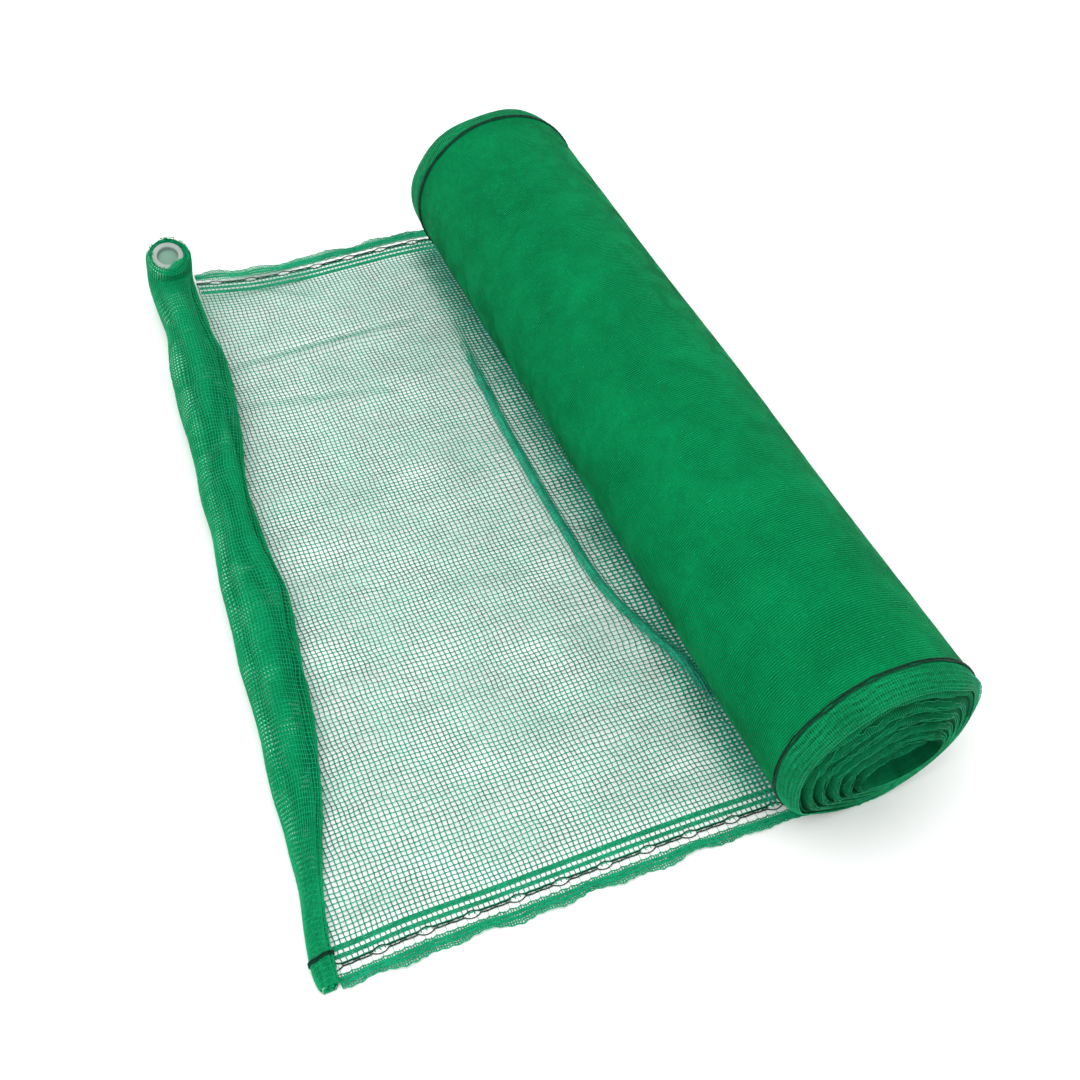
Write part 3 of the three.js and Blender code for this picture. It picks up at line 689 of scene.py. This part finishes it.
# Kinds of thread: slot, radius, sides and finish.
LAID = ("laid_mesh", 0.55, 4, LAID_THREAD)
FOLD = ("laid_mesh", 0.66, 4, FOLD_THREAD)
TAPE = ("laid_mesh", 0.62, 4, DENSE_THREAD)
BAND = ("edge_band", 0.62, 4, DENSE_THREAD)
LOOSE_EDGE = ("wound_net", 0.56, 4, DENSE_THREAD)
TURNED_EDGE = ("wound_net", 0.5, 4, EDGE_THREAD)
STRIP_NET = ("wound_net", 0.5, 4, SKIN_THREAD)
FRINGE = ("wound_net", 0.56, 4, SKIN_THREAD)
EDGE_STRAND = ("edge_cord", 0.74, 6, CORD_THREAD)
ROLL_STRAND = ("edge_cord", 0.85, 6, CORD_THREAD)
STRIP_STRAND = ("edge_cord", 1.0, 6, CORD_THREAD)


# The laid net
def gather(x, y):
    """Threads are drawn together along the pinched fold."""
    crest = along(PINCH, y, "x")
    hold = np.clip(along(PINCH, y, "height") / PINCH_FULL, 0, 1) ** 0.7
    off = x - crest
    return crest + off * (1 - 0.76 * hold * np.exp(-(off / 25) ** 2))


def gather_rows(x, y):
    """Threads are drawn together along the soft creases too, so that each one shows as a denser streak."""
    for x0, y0, x1, y1, height, _ in zip(*CREASES.values()):
        t = (x - x0) / (x1 - x0)
        off = y - (y0 + (y1 - y0) * t)
        hold = 0.16 * height * np.sqrt(np.sin(np.pi * np.clip(t, 0, 1)))
        y = y - off * hold * np.exp(-(off / 13) ** 2)
    return y


def across_edge(x, side, inset):
    """y of a row of stitches, inset from the netting's outer edge in plan."""
    edge = NEAR_EDGE if side < 0 else FAR_EDGE
    narrow = along(edge, x, "band") / BAND_WIDTH
    drawn = np.where(inset > BAND_WIDTH, inset - BAND_WIDTH * (1 - narrow), inset * narrow)
    return along(edge, x, "y") - side * drawn


def net_grid(random):
    """Places where the laid net's threads cross, their y on flat cloth, how thick the threads look there,
    which places the strip leaves free, and the number of rows in an edge."""
    first = [24.0, 29.0, *OUTER_TAPE[::-1], 37.5, *INNER_TAPE[::-1]]
    columns = np.arange(FIRST_COLUMN_X, NEAR_EDGE["x"][0], -PITCH)
    near, far = (np.stack([across_edge(columns, side, inset) for inset in first], 1) for side in (-1, 1))
    far = far[:, ::-1]
    open_rows = round((NET_WIDTH - 2 * INNER_TAPE[0]) / PITCH)
    share = np.linspace(0, 1, open_rows + 1)[1:-1]
    middle = near[:, -1:] + (far[:, :1] - near[:, -1:]) * share
    gy = np.concatenate([near, middle, far], 1)
    gx = np.broadcast_to(columns[:, None], gy.shape)
    # The edges hold their rows in line, and the open mesh between them drifts.
    loose = smooth((gy - near[:, -1:]) / 40) * smooth((far[:, :1] - gy) / 40)
    x = gather(gx + 1.6 * drift(5, gx, gy, size=210) + 0.45 * drift(6, gx, gy, size=30), gy)
    y = gy + loose * (2.0 * drift(7, gx, gy, size=190) + 0.45 * drift(8, gx, gy, size=28))
    y = y + loose * (gather_rows(x, y) - y)
    x = x + random.normal(0, 0.2, x.shape)
    y = y + loose * random.normal(0, 0.24, y.shape)
    wave = (0.5 + 0.5 * drift(9, x, y, size=130)) * 1.6 * smooth((-70 - x) / 60)
    points = stack(x, y, net_height(x, y) + 0.7 + wave * loose)
    inside = x > net_border(y) - 4
    # The netting is drawn in where it runs under the roll, so its threads look thicker there.
    close = 1 + 1.5 * smooth((x + 122) / 50)
    return points, gy, close, inside, len(first)


def laid_net():
    """Threads both ways with a knot wherever two cross, in three pieces, each with its flat width, length
    and area."""
    random = default_rng(3)
    points, gy, close, inside, edge_rows = net_grid(random)
    columns, rows = gy.shape
    parts = [0, *np.linspace(edge_rows, rows - edge_rows, 4).astype(int)[1:-1], rows - 1]
    pieces, flats = [], []
    for part, name in enumerate(("laid_net_near", "laid_net_middle", "laid_net_far")):
        low, high = parts[part], parts[part + 1]
        lines = []
        for i in range(columns):
            keep = np.flatnonzero(inside[i, low:high + 1]) + low
            if len(keep) > 2:
                run = slice(keep[0], keep[-1] + 1)
                uneven = random.uniform(0.9, 1.12, keep[-1] + 1 - keep[0])
                lines.append((points[i, run], close[i, run] * uneven))
        for j in range(max(low, edge_rows), min(high, rows - edge_rows)):
            keep = np.flatnonzero(inside[:, j])
            run = points[keep[0]:keep[-1] + 1, j]
            path = np.empty((2 * len(run) - 1, 3))
            path[::2], path[1::2] = run + (0, 0, 0.35), (run[1:] + run[:-1]) / 2 - (0, 0, 0.1)
            thick = np.full(len(path), 0.76)
            thick[::2] = 1.3
            thick[:-1] *= np.repeat(close[keep[0]:keep[-1], j], 2)
            lines.append((path, thick))
        pieces.append(threads(name, lines, LAID, *(("net_sheet",) if low == 0 else ())))
        # The cloth's own size: its rows and columns at their pitch, before creases, folds and drift.
        cells = inside[:, low:high]
        width, length = gy[0, high] - gy[0, low], cells.any(1).sum() * PITCH
        flats.append((width * MM, length * MM, cells.mean() * width * columns * PITCH * MM ** 2))
    return list(zip(pieces, flats))


def fold_threads():
    """Threads drawn close together along the crest of the pinched fold."""
    random = default_rng(11)
    lines = []
    for off in np.linspace(-5.2, 5.2, 11):
        start, end = random.uniform(-300, -245), random.uniform(240, 330)
        y = np.arange(start, end, PITCH)
        hold = np.clip(along(PINCH, y, "height") / PINCH_FULL, 0.15, 1)
        x = along(PINCH, y, "x") + off * (0.75 + 0.25 * hold) + 0.3 * drift(12, 40 * off + y, size=60)
        lines.append((stack(x, y, net_height(x, y) + 0.9), random.uniform(0.7, 1.15, len(y)) * hold ** 0.4))
    return threads("pinched_fold_threads", lines, FOLD)


# The edges: dense band, two tapes and the doubled cord
def edge_point(x, side, inset, up=0.7):
    """A place along the netting's edge, inset from its outer side, ruffled and curled where it is loose."""
    outward = np.clip(1 - inset / BAND_WIDTH, 0, 1) * smooth((-70 - x) / 60)
    ruffle = outward * (1.9 * np.sin(x * 0.115) + 1.9 * np.sin(x * 0.053 + 1) + 0.25 * np.sin(x * 0.31))
    curl = outward * (1.3 + 1.3 * np.sin(x * 0.085 + 2 * side))
    y = across_edge(x, side, inset) + side * ruffle
    return stack(x, y, under_roll(x) + curl + corner_lift(x, y) + up)


def dense_band(name, side, start, end, node):
    """Rows of close stitches with a dotted row each side, and an open scalloped outer row."""
    x = np.arange(start, end, STITCH)
    scallop = 0.7 * np.sin(x * math.pi / PITCH)
    random = default_rng(20 + side)
    lines = []
    # Under the roll the outer rows draw in, and go out of sight behind the roll's end.
    drawn = 12 * smooth((x + 8) / 36)
    for inset, sway, thick in zip(*BAND_ROWS.values()):
        wobble = sway * scallop + random.normal(0, 0.2, len(x))
        path = edge_point(x, side, np.maximum(inset, drawn) + wobble)
        lines.append((path, thick * random.uniform(0.8, 1.2, len(x))))
    for n, at in enumerate(x):
        insets = np.maximum([0.6, 3.2, 5.6, 9.0, 12.2, 15.4 + 0.9 * (n % 2)], drawn[n])
        path = edge_point(at + random.normal(0, 0.3, len(insets)), side, insets, 0.9)
        lines.append((path, np.array([1.2, 0.8, 1.15, 1.1, 1.1, 0.8])))
    return threads(name, lines, BAND, node)


def tapes(name, side, start, end):
    """The two narrow tapes between the cord and the open mesh, and thin threads across the open gap."""
    x = np.arange(start, end, STITCH)
    random = default_rng(30 + side)
    lines = []
    for inset in (*INNER_TAPE, *OUTER_TAPE, 26.6):
        path = edge_point(x, side, inset + random.normal(0, 0.15, len(x)))
        lines.append((path, random.uniform(0.85, 1.15, len(x))))
    for at in x:
        for low, high in ((39.4, 45.2), (31.2, 35.6)):
            lines.append(edge_point(at + random.normal(0, 0.2, 3), side, np.linspace(low, high, 3), 0.95))
    for at in x[::4]:
        lines.append((edge_point(np.full(4, at), side, np.array([16.0, 18.5, 21.5, 24.0])), 0.34))
    return threads(name, lines, TAPE)


def parting(where, first):
    """Half the distance between the cord's strands, and how far into an eyelet a place is."""
    nearest = (where - first + EYELET_PITCH / 2) % EYELET_PITCH - EYELET_PITCH / 2
    lens = np.clip(1 - (nearest / EYELET_HALF_LENGTH) ** 2, 0, 1)
    between = 1.25 + 0.25 * np.cos(nearest * FULL_TURN / (EYELET_PITCH / 3))
    return np.maximum(between, lens * (EYELET_HALF_WIDTH + 0.7)), lens


def edge_cord(name, side, start, end, first, node):
    """The doubled cord: two strands that part round each eyelet, and cross and pair between."""
    x = np.arange(start, end, 1.3)
    half, lens = parting(x, first)
    lines = []
    for strand in (-1, 1):
        path = edge_point(x, side, BAND_WIDTH + CORD_INSET + strand * half, 1.15)
        path[:, 2] += strand * 0.2 * np.sin(x * 0.8) * (1 - lens)
        knit = 1 + 0.13 * np.sin(x * FULL_TURN / 3.9 + strand)
        lines.append((path, knit * (1 - 0.2 * lens)))
    return threads(name, lines, EDGE_STRAND, node)


# The roll
ROLL_STEPS = 130  # points round the roll
ROUND = np.arange(ROLL_STEPS) / ROLL_STEPS * FULL_TURN
ARC = ROUND * ROLL_RADIUS
NEAR_RINGS = 124  # rings of points across the turns of an end
FAR_RINGS = 90
SHOULDER_RINGS = 12


def cloth_marks(rings, first, step):
    """Places on the cloth for rings of the roll."""
    v = first + np.arange(len(rings)) * step
    return stack(ARC[None, :], v[:, None])


def wound_roll():
    """The roll's outer face with its ribs, and its shoulders over the outermost turn's edges."""
    near = [shoulder_point(ROUND, step) for step in np.linspace(1, 0, SHOULDER_RINGS)[:-1]]
    face = []
    for n, y in enumerate(np.arange(NEAR_CORD_Y, FAR_CORD_Y, STITCH / 2)):
        sink = -0.3 * (n % 2) + 0.15 * drift(40, ARC, y, size=40)
        face.append(roll_point(ROUND, y, 1, sink))
    far = [far_shoulder_point(ROUND, step) for step in np.linspace(0, 1, SHOULDER_RINGS)]
    grid = np.array([*near, *face, *far])
    marks = cloth_marks(grid, NEAR_CORD_Y - (SHOULDER_RINGS - 1) * STITCH / 2, STITCH / 2)
    return place(skin("wound_roll", grid, marks, WOUND, (0, 0, ROLL_CENTRE_Z)), "wound_net", "main_roll")


def near_end():
    """The stacked turns of the near end, and the flattened hollow in the middle of the roll, with painted
    shade in the creases between the turns and deeper in the hollow.
    """
    rings, painted_shade_amount = [], []
    for share in np.linspace(0.105, NEAR_LAST, NEAR_RINGS):
        rings.append(near_end_point(ROUND, share))
        painted_shade_amount.append(crease_shade(ROUND, share, NEAR_FIRST))
    lip, lip_shade, wall = rings[-1], painted_shade_amount[-1], hollow_point(ROUND, 22.0)
    for step in np.linspace(0, 1, 7)[1:]:
        turned_in = lip * (1 - step) + wall * step
        turned_in[..., 1] = lip[..., 1] + (wall[..., 1] - lip[..., 1]) * step ** 1.6
        rings.append(turned_in)
        # The painted shade eases from the lip's creases to a little inside the hollow.
        painted_shade_amount.append(lip_shade * (1 - step) + 0.15 * step)
    for deep in (30, 41, 55, 70, 85, 101, 120, 140, 161):
        fold = 0.07 * np.sin(3 * ROUND + deep * 0.06) + 0.04 * np.sin(7 * ROUND - deep * 0.1)
        rings.append(hollow_point(ROUND, float(deep), 1 + fold))
        # Painted shade, darker deeper into the hollow and on its upper side.
        painted_shade_amount.append(np.full_like(ROUND, min(0.75, deep / 120)) * (0.6 + 0.4 * np.sin(ROUND)))
    grid = np.array(rings)
    marks = cloth_marks(grid, 0, 1.6)[..., ::-1]
    piece = skin("near_end_turns", grid, marks, END_WOUND, (0, -440, 160), (False, True), np.array(painted_shade_amount))
    return place(piece, "wound_net")


def far_end():
    """The turns' edges on the far end, wound right to the middle, with painted shade in the creases between
    them.
    """
    shares = np.linspace(FAR_FIRST, 0.985, FAR_RINGS)
    grid = np.array([far_end_point(ROUND, share) for share in shares])
    painted_shade_amount = np.array([crease_shade(ROUND, share, FAR_FIRST) for share in shares])
    marks = cloth_marks(grid, 0, 1.2)[..., ::-1]
    piece = skin("far_end_turns", grid, marks, END_WOUND, (0, 440, ROLL_CENTRE_Z), (False, True), painted_shade_amount)
    return place(piece, "wound_net")


def turn_edges(name, point, first, seed):
    """The stitched edge of each turn: threads that follow the spiral of an end."""
    lines = []
    random = default_rng(seed)
    for feature in (0.35, 0.6, 0.82):
        walk = np.arange(0, END_TURNS * FULL_TURN, FULL_TURN / 120)
        share = first + (1 - first) * (feature + walk / FULL_TURN) / END_TURNS
        walk, share = walk[share < NEAR_LAST], share[share < NEAR_LAST]
        path = point(-walk, share + random.normal(0, 0.0035, len(share)), 0.2)
        lines.append((path, random.uniform(0.5, 1.3, len(path))))
    return threads(name, lines, TURNED_EDGE)


def loose_edge():
    """The outermost turn's loose edge with its open cells. It stands off low down and on the far side."""
    turns = np.arange(math.radians(-84), math.radians(42), STITCH / ROLL_RADIUS)
    random = default_rng(45)

    def edge(turn, up):
        loose = np.maximum(np.exp(-((turn - 0.3) / 0.28) ** 2), 0.8 * np.exp(-((turn + 1.35) / 0.25) ** 2))
        stand = 0.6 + up * (0.15 + 0.85 * loose)
        point = shoulder_point(turn, 0.32, stand[..., None])
        point[..., 2] = np.maximum(point[..., 2], 0.7)
        return point

    lines = []
    for up, thick in ((0, 1.1), (1.0, 1.1), (3.0, 1.0)):
        wobble = 0.3 * np.sin(turns * ROLL_RADIUS * math.pi / PITCH) * (up / 3)
        lines.append((edge(turns, up + wobble), thick * random.uniform(0.85, 1.15, len(turns))))
    for turn in turns:
        lines.append(edge(turn + random.normal(0, 0.002, 3), np.array([0, 1.5, 3.0])))
    return threads("loose_turn_edge", lines, LOOSE_EDGE)


def shoulder_band(name, point):
    """The dense outer band of the outermost turn, where it rounds over an end of the roll."""
    turns = np.linspace(0, FULL_TURN, 262)
    random = default_rng(41)
    lines = []
    for step, thick in zip(*SHOULDER_ROWS.values()):
        path = point(turns, step + 0.025 * drift(43, 90 * turns, 300 * step, size=30), 0.3)
        path[-1] = path[0]
        lines.append((path, thick * random.uniform(0.85, 1.15, len(turns))))
    for turn in turns[:-1]:
        steps = np.linspace(0.1, 1.0, 5)
        path = point(turn + random.normal(0, 0.002, 5), steps, 0.55)
        lines.append((path, random.uniform(0.7, 1.1, 5)))
    return threads(name, lines, TURNED_EDGE)


def roll_cord(name, y, first, node):
    """The doubled cord where it shows on the roll, with its parted places closed by the winding."""
    turns = np.arange(math.radians(-45), math.radians(243), 0.014)
    arc = turns * ROLL_RADIUS
    half, _ = parting(arc, first)
    lines = []
    for strand in (-1, 1):
        path = roll_point(turns, y, 1, 1.0)
        path[:, 1] += strand * (1.0 + 0.2 * half) + 0.6 * drift(44, arc, size=90)
        outward = (path - (0, y, ROLL_CENTRE_Z)) / ROLL_RADIUS
        path = path + 0.15 * strand * np.sin(arc * 0.8)[:, None] * outward
        lines.append((path, 1 + 0.13 * np.sin(arc * FULL_TURN / 3.9 + strand)))
    return threads(name, lines, ROLL_STRAND, node)


# The wound strip and the tube at its end
STRIP_STEPS = 56  # points round the strip
STRIP_ROUND = np.arange(STRIP_STEPS) / STRIP_STEPS * FULL_TURN
MOUTH_RINGS = 22  # rings of points from the rim in to the tube
FRINGE_THREADS = 190
MOUTH_TURNS = 3  # turns of netting that show at the tube's mouth


def strip_layers():
    """The strip's inner layers, and the netting wound round the tube with its turns' edges at the mouth,
    with painted shade in the strip's valleys, along its right side and in the creases at the mouth.
    """
    near_tip, floor_walk = [-458, -456, -453, -449], np.arange(-445, WALK_BEND, 4.0)
    walks = np.concatenate([near_tip, floor_walk, np.linspace(WALK_BEND, WALK_END, 40)])
    rings = [strip_point(STRIP_ROUND, walk, -0.9) for walk in walks]
    painted_shade_amount = []
    for walk in walks:
        # Painted shade in the soft valleys and along the strip's right side, fading out toward the tube's
        # mouth.
        edge = np.exp(-((STRIP_ROUND - 0.35) / 0.35) ** 2)
        shade = 0.6 * np.clip(strip_valley(walk, STRIP_ROUND), 0, 1) + 0.6 * edge
        painted_shade_amount.append(shade * smooth((WALK_END - walk) / 60))
    for step in np.linspace(0, 1, MOUTH_RINGS)[1:]:
        radius = (TUBE_OUTER + WRAP - 4.3) * (1 - step) + (TUBE_OUTER + 0.4) * step
        across = (MOUTH_TURNS * step + STRIP_ROUND / FULL_TURN) % 1
        lip = -0.9 - 2.2 * (1 - puff(across)) - 1.2 * smooth((step - 0.85) / 0.15)
        aside, back = WRAP_ASIDE * (1 - step), 0.5 * WRAP_BACK * (1 - step)
        rings.append(tube_point(-STRIP_ROUND, lip, radius, aside, back))
        # Painted shade in the creases between the turns at the mouth.
        painted_shade_amount.append(0.9 * (1 - puff(across)))
    grid = np.array(rings)
    along_cloth = np.concatenate([walks, WALK_END + 2.2 * np.arange(1, MOUTH_RINGS)])
    marks = stack(STRIP_ROUND[None, :] * 26, along_cloth[:, None])
    piece = skin("strip_layers", grid, marks, STRIP_WOUND, (-480, 0, 20), (True, False), np.array(painted_shade_amount))
    return place(piece, "wound_net", "free_end_roll")


def strip_net():
    """The outer layer of netting on the strip, drawn out thin along it."""
    random = default_rng(60)
    walk = np.arange(-455, WALK_END - 1, STITCH)
    lines = []
    for turn in np.linspace(math.radians(-30), math.radians(212), 36):
        sway = turn + 0.05 * drift(62, 30 * turn, walk, size=120) + 0.12 * np.sin(walk * 0.006)
        lines.append((strip_point(sway, walk, 0.1), random.uniform(0.7, 1.2, len(walk))))
    turns = np.linspace(math.radians(-34), math.radians(216), 30)
    for at in walk[::2]:
        lean = np.minimum(at + 6 * np.sin(turns) + random.normal(0, 0.25, len(turns)), WALK_END - 1)
        lines.append((strip_point(turns, lean, 0.25), random.uniform(0.6, 1.1, len(turns))))
    return threads("strip_outer_net", lines, STRIP_NET)


def strip_cord():
    """The edge cord across the strip's near end."""
    turns = np.linspace(math.radians(-28), math.radians(206), 90)
    lines = []
    for strand in (-1, 1):
        y = STRIP_CORD_Y + 2 * np.cos(turns) + strand * 1.15
        lines.append((strip_point(turns, y, 1.3), 1 + 0.13 * np.sin(turns * 22 + strand)))
    return threads("strip_cord_strands", lines, STRIP_STRAND, "free_end_cord")


def mouth_fringe():
    """The fuzzy rim of the netting round the tube, and a ragged end of it that laps over the tube."""
    random = default_rng(72)
    lines = []
    for _ in range(FRINGE_THREADS):
        turn, radius = random.uniform(0, FULL_TURN), random.uniform(TUBE_OUTER + 0.5, TUBE_OUTER + 6.5)
        steps = np.linspace(0, 1, 5)
        rise = random.uniform(0.3, 2.4) * np.sin(np.pi * steps * random.uniform(0.5, 1))
        sweep = steps * random.uniform(-0.25, 0.25)
        path = tube_point(turn + sweep, -0.8 + rise, radius + steps * random.uniform(-3, 2), WRAP_ASIDE, 1)
        lines.append((path, 0.7))
    lap_from, lap_to = math.radians(-105), math.radians(-28)
    for turn in np.linspace(lap_from, lap_to, 16):
        middle = math.sin(math.pi * (turn - lap_from) / (lap_to - lap_from))
        inner = TUBE_OUTER - 1.0 - 6.5 * middle * random.uniform(0.75, 1.1)
        radius = np.linspace(TUBE_OUTER + 4, inner, 6)
        rise = 0.4 + 1.6 * np.sin(np.linspace(0.4, 2.6, 6)) + random.normal(0, 0.2, 6)
        lines.append(tube_point(turn + random.normal(0, 0.02, 6), rise, radius))
    for radius in (TUBE_OUTER + 1, TUBE_OUTER - 0.8, TUBE_OUTER - 2.4, TUBE_OUTER - 4):
        short = (TUBE_OUTER + 1.5 - radius) * 0.045
        run = np.linspace(lap_from + short, lap_to - short, 16)
        lines.append(tube_point(run, 1.6 + random.normal(0, 0.25, 16), radius + random.normal(0, 0.25, 16)))
    return threads("tube_mouth_fringe", lines, FRINGE)


# The camera stands where the photographer held it: place and aim in millimetres and degrees.
CAMERA = (-619.3, -1090.2, 1338.7)
CAMERA_HEADING = 23.668
CAMERA_PITCH = 49.178
CAMERA_LENS = 50.99
# The studio: a white floor, a bright surround and a broad soft light above, its place and size in metres.
FLOOR_HALF = 6000
FLOOR_WHITE = (0.95, 0.95, 0.95, 1)
SURROUND = 1.2
KEY_PLACE = (-0.9, -0.2, 3.0)
KEY_SIZE = 2.4
KEY_POWER = 26


def camera():
    data = bpy.data.cameras.new("photo camera")
    data.sensor_width = 36
    data.sensor_fit = "HORIZONTAL"
    data.lens = CAMERA_LENS
    data.clip_end = 20
    holder = add_object("photo camera", data)
    holder.location = Vector(CAMERA) * MM
    holder.rotation_euler = (math.radians(90 - CAMERA_PITCH), 0, math.radians(-CAMERA_HEADING))
    bpy.context.scene.camera = holder


def studio():
    """A plain white floor, a broad soft light from above, and a bright plain surround."""
    points = [(FLOOR_HALF * x, FLOOR_HALF * y, 0) for x, y in ((-1, -1), (1, -1), (1, 1), (-1, 1))]
    finish, _, shader = new_finish("white floor")
    shader.inputs["Base Color"].default_value = FLOOR_WHITE
    shader.inputs["Roughness"].default_value = 0.9
    floor = mesh_piece("studio_floor", points, [(0, 1, 2, 3)], finish)
    world = bpy.data.worlds.new("studio")
    bpy.context.scene.world = world
    world.use_nodes = True
    surround = world.node_tree.nodes["Background"].inputs
    surround["Color"].default_value = (1, 1, 1, 1)
    surround["Strength"].default_value = SURROUND
    light = bpy.data.lights.new("key", "AREA")
    light.shape = "DISK"
    light.size = KEY_SIZE
    light.energy = KEY_POWER
    holder = add_object("key", light)
    holder.location = KEY_PLACE
    holder.rotation_euler = (Vector((0, 0, 0)) - holder.location).to_track_quat("-Z", "Y").to_euler()
    bpy.context.scene.view_settings.view_transform = "Standard"


camera()
studio()
nets = laid_net()
fold = fold_threads()
near_edge_pieces = (
    dense_band("edge_band_near_threads", -1, -541, EDGE_END_X, "edge_band_near"),
    tapes("edge_tapes_near", -1, -538, EDGE_END_X),
    edge_cord("edge_cord_near_strands", -1, -547, -28, NEAR_FIRST_EYELET, "eyelet_cord_near"))
far_edge_pieces = (
    dense_band("edge_band_far_threads", 1, -398, EDGE_END_X, "edge_band_far"),
    tapes("edge_tapes_far", 1, -398, EDGE_END_X),
    edge_cord("edge_cord_far_strands", 1, -400, -30, FAR_FIRST_EYELET, "eyelet_cord_far"))
wound_roll()
near_end()
far_end()
shoulder_band("near_shoulder_band", shoulder_point)
shoulder_band("far_shoulder_band", far_shoulder_point)
turn_edges("near_turn_edges", near_end_point, NEAR_FIRST, 80)
turn_edges("far_turn_edges", far_end_point, FAR_FIRST, 81)
loose_edge()
roll_cord("roll_cord_near_strands", NEAR_CORD_Y, 12, "roll_cord_near")
roll_cord("roll_cord_far_strands", FAR_CORD_Y, 30, "roll_cord_far")
strip_layers()
strip_net()
strip_cord()
mouth_fringe()
for node, finish in (("core_tube", PALE_TUBE), ("core_plug", PLUG_DISC)):
    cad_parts[node].data.materials.clear()
    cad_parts[node].data.materials.append(finish)
